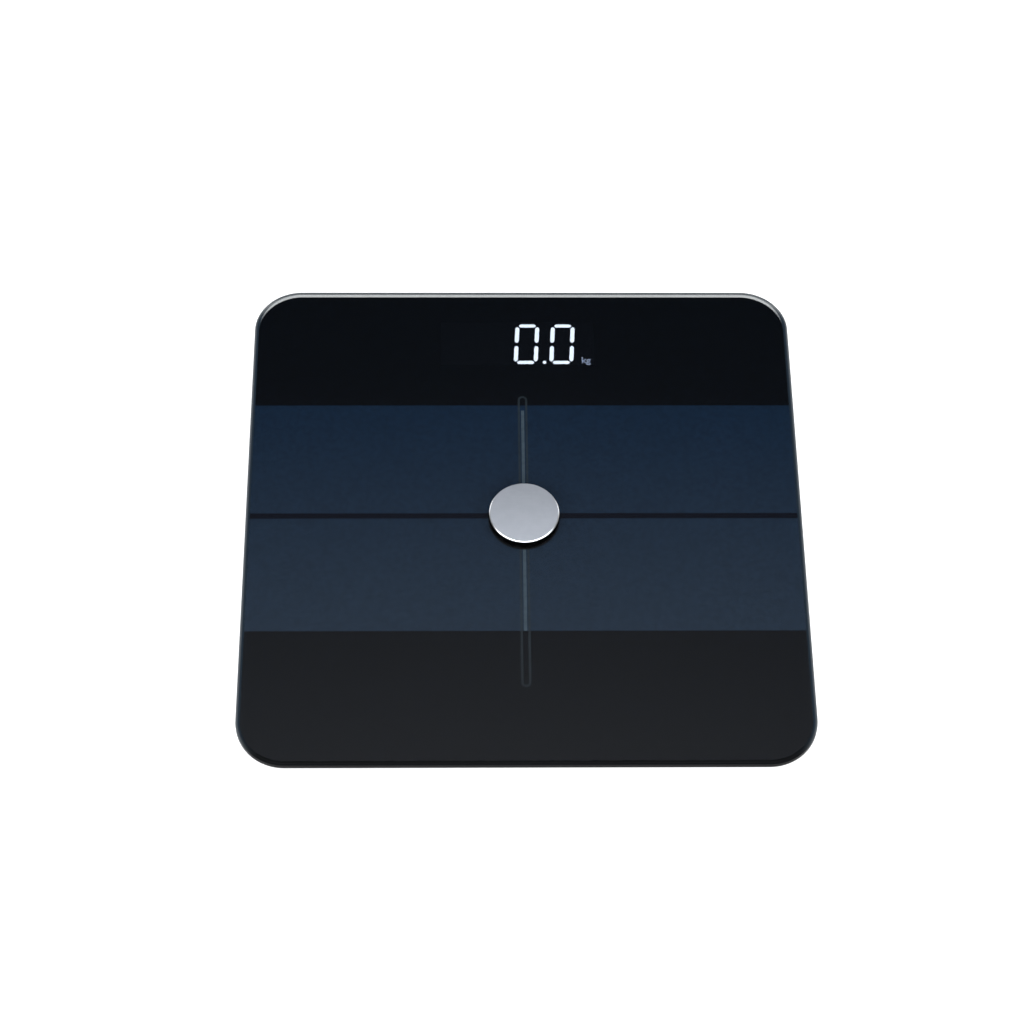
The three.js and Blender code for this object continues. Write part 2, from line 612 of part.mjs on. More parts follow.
// Steel plate with an E-shaped cut: the middle tongue takes the foot's push and bends.
function loadCell() {
  const edge = outline(CELL_SIZE, CELL_SIZE, CELL_CORNER, 3);
  const inner = CELL_SIZE / 2 - CELL_FRAME;
  const slotEnd = inner - CELL_SLOT;
  const cut = (width, depth, x, y) => box(width, depth, CELL_BOTTOM - 1, CELL_TOP + 1, x, y);
  const cuts = [cut(2 * inner, CELL_SLOT, 0, CELL_SLOT / 2 - inner)];
  for (const side of [-1, 1]) {
    cuts.push(cut(CELL_SLOT, inner + slotEnd, side * (inner - CELL_SLOT / 2), (slotEnd - inner) / 2));
    cuts.push(cut(CELL_RELIEF.width, CELL_RELIEF.length, side * CELL_RELIEF.x, CELL_RELIEF.y));
  }
  return carved(plate(edge, CELL_BOTTOM, CELL_TOP), [], cuts);
}

// Round carrier that holds the load cell's frame from above and passes its load to the glass.
function cellHolder(towards) {
  const bottom = FLOOR_TOP + GAP;
  const roof = CELL_TOP + GAP;
  const pocket = UNDER_FILM - HOLDER_POCKET.depth;
  const ribs = [0, 1].map((turn) =>
    box(2 * HOLDER_RADIUS - 2, HOLDER_RIB, pocket - 0.5, UNDER_FILM).rotateZ((turn + 0.5) * (Math.PI / 2)),
  );
  const hollow = carved(
    rod(HOLDER_RADIUS - HOLDER_POCKET.wall, pocket, UNDER_FILM + 1),
    [],
    [rod(HOLDER_POCKET.inner, pocket - 1, UNDER_FILM + 2), ...ribs],
  );
  const slot = CABLE_RADIUS + 2 * GAP;
  const exit = box(HOLDER_RADIUS, 2 * slot, bottom - 1, BOARD_LEVEL + slot, HOLDER_RADIUS / 2 + 4);
  return carved(rod(HOLDER_RADIUS, bottom, UNDER_FILM, 0, 0, 32), [], [
    rod(HOLDER_CAVITY, bottom - 1, CELL_BOTTOM - GAP, 0, 0, 32),
    plate(outline(CELL_SIZE + 2 * GAP, CELL_SIZE + 2 * GAP, CELL_CORNER + GAP, 3), CELL_BOTTOM - 1, roof),
    rod(HOLDER_RELIEF.radius, roof - 1, roof + HOLDER_RELIEF.depth),
    hollow,
    exit.rotateZ(towards),
  ]);
}

for (const corner of CORNERS) {
  const place = (mesh) => mesh.position.set(corner.x * FOOT_X, corner.y * FOOT_Y, 0);
  // a rear cell's cable leaves sideways towards the board, a front cell's leaves rearwards
  const towards = corner.y < 0 ? Math.PI / 2 : corner.x < 0 ? 0 : Math.PI;
  place(add(`foot_pad_${corner.name}`, footPad(), footRubber));
  place(add(`foot_cup_${corner.name}`, footCup(), footPlastic));
  place(add(`load_cell_${corner.name}`, loadCell(), springSteel));
  place(add(`load_cell_holder_${corner.name}`, cellHolder(towards), whitePlastic));
}

// ---------------------------------------------------------------- board and display

function mainBoard() {
  const edge = outline(BOARD_WIDTH, BOARD_DEPTH, 1.5, 2);
  const holes = CORNERS.map((corner) =>
    rod(
      SCREW_RADIUS + GAP,
      BOARD_BOTTOM - 1,
      BOARD_TOP + 1,
      corner.x * (BOARD_WIDTH / 2 - SCREW_EDGE),
      corner.y * (BOARD_DEPTH / 2 - SCREW_EDGE),
      12,
    ),
  );
  return carved(plate(edge, BOARD_BOTTOM, BOARD_TOP), [], holes);
}

// One light well of a digit: a bar with pointed ends, centred on the origin and lying along X.
function segmentBar(length) {
  const half = length / 2;
  const nose = DIGIT_STROKE / 2;
  return [
    [-half, 0],
    [nose - half, -nose],
    [half - nose, -nose],
    [half, 0],
    [half - nose, nose],
    [nose - half, nose],
  ];
}

// The seven bars of one digit as lists of points, centred on the digit and leaning to the right.
function digitBars() {
  const across = DIGIT_WIDTH - DIGIT_STROKE;
  const up = (DIGIT_HEIGHT - DIGIT_STROKE) / 2;
  const flat = segmentBar(across - 2 * SEGMENT_GAP);
  const upright = segmentBar(up - 2 * SEGMENT_GAP).map(([x, y]) => [-y, x]);
  const bars = [-up, 0, up].map((y) => flat.map(([px, py]) => [px, py + y]));
  for (const x of [-across / 2, across / 2]) {
    for (const y of [-up / 2, up / 2]) bars.push(upright.map(([px, py]) => [px + x, py + y]));
  }
  return bars.map((bar) => bar.map(([x, y]) => new THREE.Vector2(x + DIGIT_SLANT * y, y)));
}

// Reflector block of the LED display, with a well for each bar and for the decimal point.
function displayModule() {
  const block = box(DISPLAY_WIDTH, DISPLAY_DEPTH, MODULE_BOTTOM, MODULE_TOP);
  const wells = [];
  for (let digit = 0; digit < DIGIT_COUNT; digit += 1) {
    const x = (digit - (DIGIT_COUNT - 1) / 2) * DIGIT_PITCH + DIGIT_ROW_SHIFT.x;
    for (const bar of digitBars()) {
      wells.push(plate(bar, MODULE_TOP - SEGMENT_WELL, MODULE_TOP + 1).translate(x, DIGIT_ROW_SHIFT.y, 0));
    }
  }
  const pointX = (DIGIT_COUNT / 2 - 1) * DIGIT_PITCH + DIGIT_ROW_SHIFT.x;
  const pointY = (DIGIT_STROKE - DIGIT_HEIGHT) / 2 + DIGIT_ROW_SHIFT.y;
  wells.push(rod(DIGIT_STROKE / 2, MODULE_TOP - SEGMENT_WELL, MODULE_TOP + 1, pointX, pointY, 12));
  return carved(block, [], wells);
}

function displayGasket() {
  const edge = outline(DISPLAY_WIDTH, DISPLAY_DEPTH, 1, 2);
  const hole = outline(DISPLAY_WIDTH - 2 * GASKET_WIDTH, DISPLAY_DEPTH - 2 * GASKET_WIDTH, 0.5, 2);
  return plate(edge, UNDER_FILM - GASKET_THICKNESS, UNDER_FILM, [hole]);
}

// Pan-head screw with a cross recess.
function boardScrew() {
  const seat = BOARD_TOP + GAP;
  const head = seat + SCREW_HEAD.height;
  const blank = turned(
    [
      [0, head - SCREW_HEAD.height - SCREW_LENGTH],
      [SCREW_RADIUS, head - SCREW_HEAD.height - SCREW_LENGTH + SCREW_RADIUS],
      [SCREW_RADIUS, seat],
      [SCREW_HEAD.radius, seat],
      [SCREW_HEAD.radius, seat + SCREW_HEAD.height / 2],
      [SCREW_HEAD.radius - SCREW_HEAD.height / 2, head],
      [0, head],
    ],
    12,
  );
  const reach = 1.3 * SCREW_HEAD.radius;
  return carved(blank, [], [
    box(reach, SCREW_HEAD.slot, head - SCREW_HEAD.height / 2, head + 1),
    box(SCREW_HEAD.slot, reach, head - SCREW_HEAD.height / 2, head + 1),
  ]);
}

add("main_board", mainBoard(), boardLaminate).position.set(BOARD_X, BOARD_Y, 0);
add("display_module", displayModule(), blackPlastic).position.set(DISPLAY_OFFSET, DISPLAY_Y, 0);
add("display_gasket", displayGasket(), blackFoam).position.set(DISPLAY_OFFSET, DISPLAY_Y, 0);
for (const screw of screwsAt) {
  add(`board_screw_${screw.name}`, boardScrew(), nickel).position.set(screw.x, screw.y, 0);
}
const chip = box(CHIP.size, CHIP.size, CHIP_TOP - CHIP.height, CHIP_TOP);
add("microcontroller", chip, chipResin).position.set(BOARD_X + CHIP.x, BOARD_Y + CHIP.y, 0);
const radio = box(RADIO.width, RADIO.depth, CHIP_TOP - RADIO.height, CHIP_TOP);
add("radio_module", radio, springSteel).position.set(BOARD_X + RADIO.x, BOARD_Y + RADIO.y, 0);

// ---------------------------------------------------------------- unit button

// Cap seen from below, with a flange that keeps it in the tray and a stem up to the switch's plunger.
function unitButton() {
  return turned(
    [
      [0, TRAY_BOTTOM + BUTTON_SINK],
      [BUTTON_RADIUS - BUTTON_EDGE, TRAY_BOTTOM + BUTTON_SINK],
      [BUTTON_RADIUS, TRAY_BOTTOM + BUTTON_SINK + BUTTON_EDGE],
      [BUTTON_RADIUS, FLOOR_TOP + GAP],
      [BUTTON_FLANGE.radius, FLOOR_TOP + GAP],
      [BUTTON_FLANGE.radius, FLOOR_TOP + GAP + BUTTON_FLANGE.height],
      [PLUNGER_RADIUS, FLOOR_TOP + GAP + BUTTON_FLANGE.height],
      [PLUNGER_RADIUS, STEM_TOP],
      [0, STEM_TOP],
    ],
    20,
  );
}

function switchBody() {
  const well = PLUNGER_TOP + BUTTON_TRAVEL + GAP;
  return carved(box(SWITCH_SIZE, SWITCH_SIZE, SWITCH_BOTTOM, CHIP_TOP), [], [
    rod(PLUNGER_RADIUS + GAP, SWITCH_BOTTOM - 1, well, 0, 0, 12),
  ]);
}

add("unit_button", unitButton(), footPlastic).position.set(buttonAt.x, buttonAt.y, 0);
add("switch_body", switchBody(), blackPlastic).position.set(buttonAt.x, buttonAt.y, 0);
const plunger = rod(PLUNGER_RADIUS, PLUNGER_BOTTOM, PLUNGER_TOP, 0, 0, 12);
add("switch_plunger", plunger, whitePlastic).position.set(buttonAt.x, buttonAt.y, 0);

// ---------------------------------------------------------------- battery bay

// Round cell lying along X with its positive nub towards +X.
function battery() {
  const can = BATTERY_LENGTH - BATTERY_NUB.length;
  return turned([
    [0, 0],
    [BATTERY_RADIUS - 0.5, 0],
    [BATTERY_RADIUS, 0.5],
    [BATTERY_RADIUS, can - 0.6],
    [BATTERY_RADIUS - 0.6, can],
    [BATTERY_NUB.radius, can],
    [BATTERY_NUB.radius, BATTERY_LENGTH],
    [0, BATTERY_LENGTH],
  ]).rotateY(Math.PI / 2);
}

class ConicalCoil extends THREE.Curve {
  getPoint(t, target = new THREE.Vector3()) {
    const angle = 2 * Math.PI * SPRING.turns * t;
    const radius = THREE.MathUtils.lerp(SPRING.base, SPRING.tip, t);
    const along = THREE.MathUtils.lerp(0, SPRING.length - SPRING.wire, t);
    return target.set(along, radius * Math.cos(angle), radius * Math.sin(angle));
  }
}

// Coil spring that starts inside its plate and points along +X.
function contactSpring() {
  const section = new THREE.Shape().absarc(0, 0, SPRING.wire, 0, 2 * Math.PI);
  return new THREE.ExtrudeGeometry(section, {
    steps: 8 * SPRING.turns,
    extrudePath: new ConicalCoil(),
    curveSegments: 3,
    bevelEnabled: false,
  });
}

// A contact plate against the wall at -X, over the given rows, with springs on some of them.
function contactPlate(rows, sprung) {
  const low = Math.min(...rows) * BATTERY_PITCH - CONTACT_WIDTH / 2;
  const high = Math.max(...rows) * BATTERY_PITCH + CONTACT_WIDTH / 2;
  const bottom = BATTERY_LEVEL - CONTACT_HEIGHT / 2;
  const top = BATTERY_LEVEL + CONTACT_HEIGHT / 2;
  const flat = box(CONTACT_THICKNESS, high - low, bottom, top, CONTACT_THICKNESS / 2, (low + high) / 2);
  const springs = sprung.map((row) =>
    contactSpring().translate(CONTACT_THICKNESS, row * BATTERY_PITCH, BATTERY_LEVEL),
  );
  return carved(flat, springs, []);
}

const bayEnd = BAY_LENGTH / 2 - GAP;
const batteryEnd = bayEnd - CONTACT_THICKNESS - GAP;
ROWS.forEach((row, index) => {
  const cell = add(`battery_${index + 1}`, battery(), cellSleeve);
  const flipped = row === 0;
  cell.rotation.z = flipped ? Math.PI : 0;
  const start = batteryEnd - BATTERY_LENGTH;
  cell.position.set(flipped ? -start : start, BAY_Y + row * BATTERY_PITCH, BATTERY_LEVEL);
});

function placeContact(name, geometry, end) {
  const contact = add(name, geometry, nickel);
  contact.rotation.z = end > 0 ? Math.PI : 0;
  contact.position.set(end * bayEnd, BAY_Y, 0);
}

placeContact("contact_negative", contactPlate([-1], [-1]), -1);
placeContact("contact_bridge_left", contactPlate([0, 1], [1]), -1);
// rows are mirrored in the contacts that are turned to face -X
placeContact("contact_bridge_right", contactPlate([0, 1], [0]), 1);
placeContact("contact_positive", contactPlate([-1], []), 1);

// Snap-in door: two tabs on the -Y side hook into the bay wall, a sprung latch holds the +Y side.
function batteryDoor() {
  const slab = plate(outline(DOOR_LENGTH, DOOR_WIDTH, DOOR_CORNER, 4), TRAY_BOTTOM, DOOR_TOP);
  const additions = [];
  const tabInner = -BAY_WIDTH / 2 + DOOR_TAB.root;
  const tabOuter = -BAY_WIDTH / 2 - TAB_REACH;
  const neck = DOOR_TAB.root - GAP;
  for (const side of [-1, 1]) {
    const x = (side * DOOR_TAB.spread) / 2;
    const width = tabInner - tabOuter;
    additions.push(box(DOOR_TAB.width, width, TAB_BOTTOM, TAB_TOP, x, (tabInner + tabOuter) / 2));
    additions.push(box(DOOR_TAB.width, neck, DOOR_TOP - 0.5, TAB_BOTTOM + 0.5, x, tabInner - neck / 2));
  }
  // latch: a wall that rises from the door's edge and folds back outwards to a nub
  const edge = DOOR_WIDTH / 2;
  const top = DOOR_TOP + LATCH.height;
  additions.push(box(LATCH.width, LATCH.wall, DOOR_TOP - 0.5, top, 0, edge - LATCH.wall / 2 - 1.6));
  additions.push(box(LATCH.width, LATCH.wall + 1.6, top - 1, top, 0, edge - (LATCH.wall + 1.6) / 2));
  additions.push(box(LATCH.width, LATCH.nub + 1, top - 1.8, top, 0, edge + (LATCH.nub - 1) / 2));
  const grip = [-2, -1, 0, 1, 2].map((n) =>
    box(LATCH.width + 6, 0.8, TRAY_BOTTOM - 1, TRAY_BOTTOM + 0.4, 0, edge - 8 + 2 * n),
  );
  return carved(slab, additions, grip);
}

add("battery_door", batteryDoor(), trayPlastic).position.set(0, BAY_Y, 0);

// ---------------------------------------------------------------- electrode contacts

// Bent spring blade from a post in the tray up to the glass, drawn for the right-hand side.
function electrodeBlade() {
  const { thickness, rise, foot, ramp, tip } = ELECTRODE_BLADE;
  const shape = new THREE.Shape();
  shape.moveTo(-foot - ramp, 0);
  shape.lineTo(-ramp + thickness, 0);
  shape.lineTo(thickness, rise - thickness);
  shape.lineTo(tip, rise - thickness);
  shape.lineTo(tip, rise);
  shape.lineTo(0, rise);
  shape.lineTo(-ramp, thickness);
  shape.lineTo(-foot - ramp, thickness);
  shape.closePath();
  return new THREE.ExtrudeGeometry(shape, { depth: ELECTRODE_WIDTH, bevelEnabled: false })
    .rotateX(Math.PI / 2)
    .translate(-tip / 2, ELECTRODE_WIDTH / 2, postTop + GAP);
}

for (const corner of CORNERS) {
  const blade = add(`electrode_contact_${corner.name}`, electrodeBlade(), nickel);
  blade.rotation.z = corner.x < 0 ? Math.PI : 0;
  blade.position.set(corner.x * (HALF_WIDTH - ELECTRODE_EDGE), corner.y * ELECTRODE_Y, 0);
}

// ---------------------------------------------------------------- wires

const boardFront = BOARD_Y - BOARD_DEPTH / 2 - GAP;

// The last stretch of a wire up to the board's front edge at the given place.
function intoBoard(x) {
  return [
    at(x, boardFront - 6, BOARD_LEVEL - 1.2),
    at(x, boardFront - 2.5, BOARD_LEVEL),
    at(x, boardFront, BOARD_LEVEL),
  ];
}

function frontCellCable(side) {
  const exit = -FOOT_Y + CELL_SIZE / 2 + GAP;
  const clear = -FOOT_Y + HOLDER_RADIUS + 3;
  const end = BOARD_X + side * 30;
  const bend = boardFront - 22;
  return [
    at(side * FOOT_X, exit, CELL_LEVEL),
    at(side * FOOT_X, clear, CELL_LEVEL),
    at(side * (FOOT_X - 4), clear + 14, WIRE_LEVEL),
    at((side * FOOT_X + end) / 2, (clear + bend) / 2 - 6, WIRE_LEVEL),
    at(end + side * 10, bend, WIRE_LEVEL),
    ...intoBoard(end),
  ];
}

function rearCellCable(side) {
  const start = side * (FOOT_X - CELL_SIZE / 2 - GAP);
  const end = BOARD_X + side * (BOARD_WIDTH / 2 + GAP);
  const spread = (t, z) => at(THREE.MathUtils.lerp(start, end, t), FOOT_Y, z);
  return [
    spread(0, CELL_LEVEL),
    spread(0.25, CELL_LEVEL),
    spread(0.75, BOARD_LEVEL),
    spread(1, BOARD_LEVEL),
  ];
}

// Lead from an electrode blade's foot to the board; the two on each side keep to their own lanes.
function electrodeLead(corner) {
  const start = corner.x * (bladeFootX - ELECTRODE_BLADE.foot - GAP);
  const level = postTop + GAP + ELECTRODE_BLADE.thickness / 2;
  const y = corner.y * ELECTRODE_Y;
  const end = BOARD_X + corner.x * (corner.y < 0 ? 38 : 46);
  const bend = boardFront - (corner.y < 0 ? 20 : 14);
  const middle = corner.y < 0 ? 0.45 : 0.5;
  return [
    at(start, y, level),
    at(start - corner.x * 4, y, level - 0.4),
    at(start - corner.x * 12, y + 6, WIRE_LEVEL),
    at(THREE.MathUtils.lerp(start, end, middle), THREE.MathUtils.lerp(y, bend, middle) + 4, WIRE_LEVEL),
    at(end + corner.x * 8, bend, WIRE_LEVEL),
    ...intoBoard(end),
  ];
}

// Lead from an end contact, out through the bay wall and along the bay to the board.
function batteryLead(side) {
  const y = BAY_Y + side * ROWS.at(-1) * BATTERY_PITCH;
  const plateFace = side * (BAY_LENGTH / 2);
  const outside = side * (BAY_LENGTH / 2 + BAY_WALL);
  const end = BOARD_X + side * 20;
  return [
    at(plateFace, y, leadHoleLevel),
    at(outside, y, leadHoleLevel),
    at(outside + side * 1.5, y + 0.3, leadHoleLevel),
    at(outside + side * 4, y + 5, WIRE_LEVEL + 1),
    at(outside + side * 4, boardFront - 20, WIRE_LEVEL),
    ...intoBoard(end),
  ];
}

for (const corner of CORNERS) {
  const route = corner.y < 0 ? frontCellCable(corner.x) : rearCellCable(corner.x);
  const steps = corner.y < 0 ? 26 : 10;
  add(`load_cell_cable_${corner.name}`, wire(route, CABLE_RADIUS, steps), greyLead);
  add(`electrode_lead_${corner.name}`, wire(electrodeLead(corner), LEAD_RADIUS, 20), blackLead);
}
add("battery_lead_negative", wire(batteryLead(-1), LEAD_RADIUS, 18), blackLead);
add("battery_lead_positive", wire(batteryLead(1), LEAD_RADIUS, 18), redLead);

export default scale;
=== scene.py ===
import math

import bmesh
import bpy
from mathutils import Matrix, Vector


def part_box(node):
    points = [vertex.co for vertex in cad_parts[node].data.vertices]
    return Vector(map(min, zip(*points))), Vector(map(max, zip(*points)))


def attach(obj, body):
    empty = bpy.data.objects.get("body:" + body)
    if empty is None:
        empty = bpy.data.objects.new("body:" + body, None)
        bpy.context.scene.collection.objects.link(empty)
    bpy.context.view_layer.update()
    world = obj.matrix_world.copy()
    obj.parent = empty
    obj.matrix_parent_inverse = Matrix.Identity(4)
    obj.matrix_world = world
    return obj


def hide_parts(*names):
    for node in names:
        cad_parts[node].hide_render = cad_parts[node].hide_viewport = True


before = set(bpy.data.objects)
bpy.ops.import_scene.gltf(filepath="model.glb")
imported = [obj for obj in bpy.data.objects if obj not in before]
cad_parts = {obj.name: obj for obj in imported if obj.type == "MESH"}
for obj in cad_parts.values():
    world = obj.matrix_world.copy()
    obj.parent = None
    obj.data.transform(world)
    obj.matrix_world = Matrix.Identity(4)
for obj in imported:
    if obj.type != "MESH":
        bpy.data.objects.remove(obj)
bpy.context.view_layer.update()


# ---------------------------------------------------------------- glass platform
# One sheet of 4 mm float glass, cut square with round corners, its edges ground and polished, then
# tempered. It is clear: the colours lie under it, and a narrow border outside them is see-through glass,
# over which a rim of painted light and shade is laid.

MM = 0.001
GLASS_CORNER = 26 * MM
GLASS_TOP_ARRIS = (1.5 * MM, 0.85 * MM)
GLASS_LOWER_ARRIS = 0.5 * MM
FACE_EDGE = 0.6 * MM
CORNER_STEPS = 36
GLASS_TINT = (0.955, 0.975, 0.972)
# painted light and shade laid over the rim of the glass: its width, its tones and where they fall
RIM_WIDTH = 2.3
RIM_PAINTED_TONES = ((0.130, 0.142, 0.153), (0.013, 0.021, 0.031))
NEAR_RIM_PAINTED_SHADE = (0.0025, 0.003, 0.0036)
RIM_SHINE = 0.04
FAR_RIM_SHARE = 0.58
CLEAR_BAND = (128.0, 145.0)
NEAR_SHADE_BAND = (-146.0, -127.0)
glass_low, glass_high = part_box("glass_platform")


def rounded_outline(low, high, inset, corner, steps=24):
    """Points counterclockwise round a rectangle with round corners, moved in by inset."""
    radius = max(corner - inset, 0.02 * MM)
    centres = [
        (high.x - inset - radius, high.y - inset - radius),
        (low.x + inset + radius, high.y - inset - radius),
        (low.x + inset + radius, low.y + inset + radius),
        (high.x - inset - radius, low.y + inset + radius),
    ]
    points = []
    for quarter, (x, y) in enumerate(centres):
        for step in range(steps + 1):
            angle = (quarter + step / steps) * math.pi / 2
            points.append((x + radius * math.cos(angle), y + radius * math.sin(angle)))
    return points


def stacked_mesh(name, rings):
    """One closed skin over rings of points, each ring lying on the one before it."""
    count = len(rings[0])
    faces = [tuple(reversed(range(count)))]
    for level in range(len(rings) - 1):
        for i in range(count):
            here = level * count + i
            beside = level * count + (i + 1) % count
            faces.append((here, beside, beside + count, here + count))
    last = (len(rings) - 1) * count
    faces.append(tuple(range(last, last + count)))
    mesh = bpy.data.meshes.new(name)
    mesh.from_pydata([point for ring in rings for point in ring], [], faces)
    return mesh


def layered_outline(name, low, high, corner, levels, steps=24):
    """A skin whose levels are (height, inset) pairs of one rounded rectangle."""
    rings = []
    for height, inset in levels:
        outline = rounded_outline(low, high, inset, corner, steps)
        rings.append([(x, y, height) for x, y in outline])
    return stacked_mesh(name, rings)


def shown_piece(name, mesh, body, finish, nodes, smooth=28):
    """Makes a mesh a piece of the scale that moves with a body and stands for CAD nodes."""
    made = bpy.data.objects.new(name, mesh)
    bpy.context.scene.collection.objects.link(made)
    mesh.materials.clear()
    mesh.materials.append(finish.material)
    mesh.shade_smooth()
    mesh.set_sharp_from_angle(angle=math.radians(smooth))
    level = made.modifiers.new("flat_faces_stay_flat", "WEIGHTED_NORMAL")
    level.mode = "FACE_AREA"
    level.weight = 100
    level.keep_sharp = True
    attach(made, body)
    if nodes:
        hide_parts(*nodes)
    return made


class Finish:
    """A material whose patterns are laid out in millimetres on the piece itself."""

    def __init__(self, name, **constants):
        self.material = bpy.data.materials.new(name)
        self.material.use_nodes = True
        self.tree = self.material.node_tree
        self.shader = self.tree.nodes["Principled BSDF"]
        for word, value in constants.items():
            self.shader.inputs[word.replace("_", " ")].default_value = value
        place = self.add("TexCoord").outputs["Object"]
        self.place = self.vector("SCALE", place, scale=1 / MM)
        split = self.add("SeparateXYZ")
        self.join(self.place, split.inputs[0])
        self.x, self.y, self.z = split.outputs

    def add(self, kind, **settings):
        node = self.tree.nodes.new("ShaderNode" + kind)
        for word, value in settings.items():
            setattr(node, word, value)
        return node

    def join(self, source, target):
        self.tree.links.new(source, target)

    def vector(self, operation, first, second=None, scale=None):
        node = self.add("VectorMath", operation=operation)
        self.join(first, node.inputs[0])
        if second is not None:
            node.inputs[1].default_value = second
        if scale is not None:
            node.inputs["Scale"].default_value = scale
        return node.outputs[0]

    def sum(self, operation, *values):
        node = self.add("Math", operation=operation)
        for socket, value in zip(node.inputs, values):
            if isinstance(value, (int, float)):
                socket.default_value = value
            else:
                self.join(value, socket)
        return node.outputs[0]

    def step(self, value, low, high, start=0.0, end=1.0):
        """Goes smoothly from start to end as value goes from low to high."""
        node = self.add("MapRange", interpolation_type="SMOOTHSTEP")
        self.join(value, node.inputs["Value"])
        for word, number in zip(("From Min", "From Max", "To Min", "To Max"), (low, high, start, end)):
            node.inputs[word].default_value = number
        return node.outputs["Result"]

    def noise(self, size, detail=3.0, stretch=(1, 1, 1), roughness=0.55):
        """Cloudy values about 0.5 whose lumps are about size millimetres, longer along stretch."""
        node = self.add("TexNoise")
        grain = [1 / (size * along) for along in stretch]
        self.join(self.vector("MULTIPLY", self.place, grain), node.inputs["Vector"])
        node.inputs["Scale"].default_value = 1.0
        node.inputs["Detail"].default_value = detail
        node.inputs["Roughness"].default_value = roughness
        return node.outputs["Fac"]

    def blend(self, factor, first, second):
        """Colour or number between first and second."""
        plain = isinstance(first, (int, float)) or isinstance(second, (int, float))
        node = self.add("Mix", data_type="FLOAT" if plain else "RGBA")
        sockets = [node.inputs[0]] + [
            s for s in node.inputs if s.enabled and s.name in ("A", "B")
        ]
        for socket, value in zip(sockets, (factor, first, second)):
            if isinstance(value, bpy.types.NodeSocket):
                self.join(value, socket)
            elif isinstance(value, tuple):
                socket.default_value = (*value, 1.0)
            else:
                socket.default_value = value
        return [s for s in node.outputs if s.enabled][0]

    def colour(self, value):
        self.join(value, self.shader.inputs["Base Color"])

    def mottled(self, value, dark, light):
        """A tone that drifts between two as a cloudy value does."""
        return self.blend(self.step(value, 0.3, 0.7), dark, light)

    def roughness(self, value):
        self.join(value, self.shader.inputs["Roughness"])

    def glow(self, value):
        self.join(value, self.shader.inputs["Emission Color"])

    def cells(self, density, **settings):
        """Distances in a pattern of cells, about so many to the millimetre."""
        node = self.add("TexVoronoi", **settings)
        self.join(self.vector("SCALE", self.place, scale=density), node.inputs["Vector"])
        node.inputs["Scale"].default_value = 1.0
        return node.outputs["Distance"]

    def worn(self, value, low, high):
        """A roughness that drifts between two as a cloudy value does."""
        self.roughness(self.step(value, 0.3, 0.7, low, high))

    def within(self, value, low, high, soft):
        """One between low and high and nought outside them, with soft borders."""
        above = self.step(value, low - soft, low + soft)
        return self.sum("MULTIPLY", above, self.step(value, high - soft, high + soft, 1.0, 0.0))

    def near(self, value, reach, soft):
        """One where a value is less than reach from nought, with a soft border."""
        return self.step(self.sum("ABSOLUTE", value), reach - soft, reach + soft, 1.0, 0.0)

    def length(self, first, second):
        """How long a line is that goes first along one axis and second along the other."""
        squares = [self.sum("POWER", side, 2.0) for side in (first, second)]
        return self.sum("SQRT", self.sum("ADD", *squares))

    def mixed(self, factor, first, second):
        """Two shaders in one."""
        node = self.add("MixShader")
        for socket, source in zip(node.inputs, (factor, first.outputs[0], second.outputs[0])):
            self.join(source, socket)
        return node

    def surface(self, node):
        self.join(node.outputs[0], self.tree.nodes["Material Output"].inputs["Surface"])

    def relief(self, height, depth, strength=1.0):
        """Raises the surface by height times depth, in metres."""
        bump = self.add("Bump")
        bump.inputs["Distance"].default_value = depth
        bump.inputs["Strength"].default_value = strength
        self.join(height, bump.inputs["Height"])
        self.join(bump.outputs[0], self.shader.inputs["Normal"])


glass = Finish("polished_glass", IOR=1.5, Transmission_Weight=1.0, Specular_IOR_Level=0.5)
haze = glass.noise(38, 5)
rub = glass.noise(7, 4, (5, 1, 1))
corner_x = glass.sum("SUBTRACT", glass.sum("ABSOLUTE", glass.x), (glass_high.x - GLASS_CORNER) / MM)
corner_y = glass.sum("SUBTRACT", glass.sum("ABSOLUTE", glass.y), (glass_high.y - GLASS_CORNER) / MM)
past_corner = glass.length(glass.sum("MAXIMUM", corner_x, 0.0), glass.sum("MAXIMUM", corner_y, 0.0))
from_edge = glass.sum("SUBTRACT", GLASS_CORNER / MM, past_corner)
glass.colour(glass.mottled(haze, GLASS_TINT, tuple(0.99 * tint for tint in GLASS_TINT)))
wiped = glass.step(haze, 0.42, 0.75, 0.3, 1.0)
glass.roughness(glass.sum("MULTIPLY", wiped, glass.step(rub, 0.3, 0.8, 0.01, 0.05)))
see_through = glass.add("BsdfTransparent")
rays = glass.add("LightPath")
soft_rays = glass.sum("MAXIMUM", rays.outputs["Is Shadow Ray"], rays.outputs["Is Diffuse Ray"])
# painted light and shade on the rim: a dull opaque layer, grey at the very edge and darker inward,
# stands for the floor seen through the border, and near the front it is painted near black as shade;
# along the far side only part of it is laid, so daylight comes through the glass there
rim = glass.add("BsdfPrincipled")
rim.inputs["Specular IOR Level"].default_value = RIM_SHINE
rim_painted_tone = glass.blend(glass.step(from_edge, 0.0, 1.7), RIM_PAINTED_TONES[0], RIM_PAINTED_TONES[1])
near_shade_mask = glass.step(glass.y, NEAR_SHADE_BAND[0], NEAR_SHADE_BAND[1], 1.0, 0.0)
glass.join(glass.blend(near_shade_mask, rim_painted_tone, NEAR_RIM_PAINTED_SHADE), rim.inputs["Base Color"])
glass.join(glass.step(rub, 0.3, 0.8, 0.32, 0.46), rim.inputs["Roughness"])
on_rim = glass.sum(
    "MULTIPLY",
    glass.step(from_edge, RIM_WIDTH - 0.15, RIM_WIDTH + 0.05, 1.0, 0.0),
    glass.step(glass.y, CLEAR_BAND[0], CLEAR_BAND[1], 1.0, FAR_RIM_SHARE),
)
glass.surface(glass.mixed(soft_rays, glass.mixed(on_rim, glass.shader, rim), see_through))

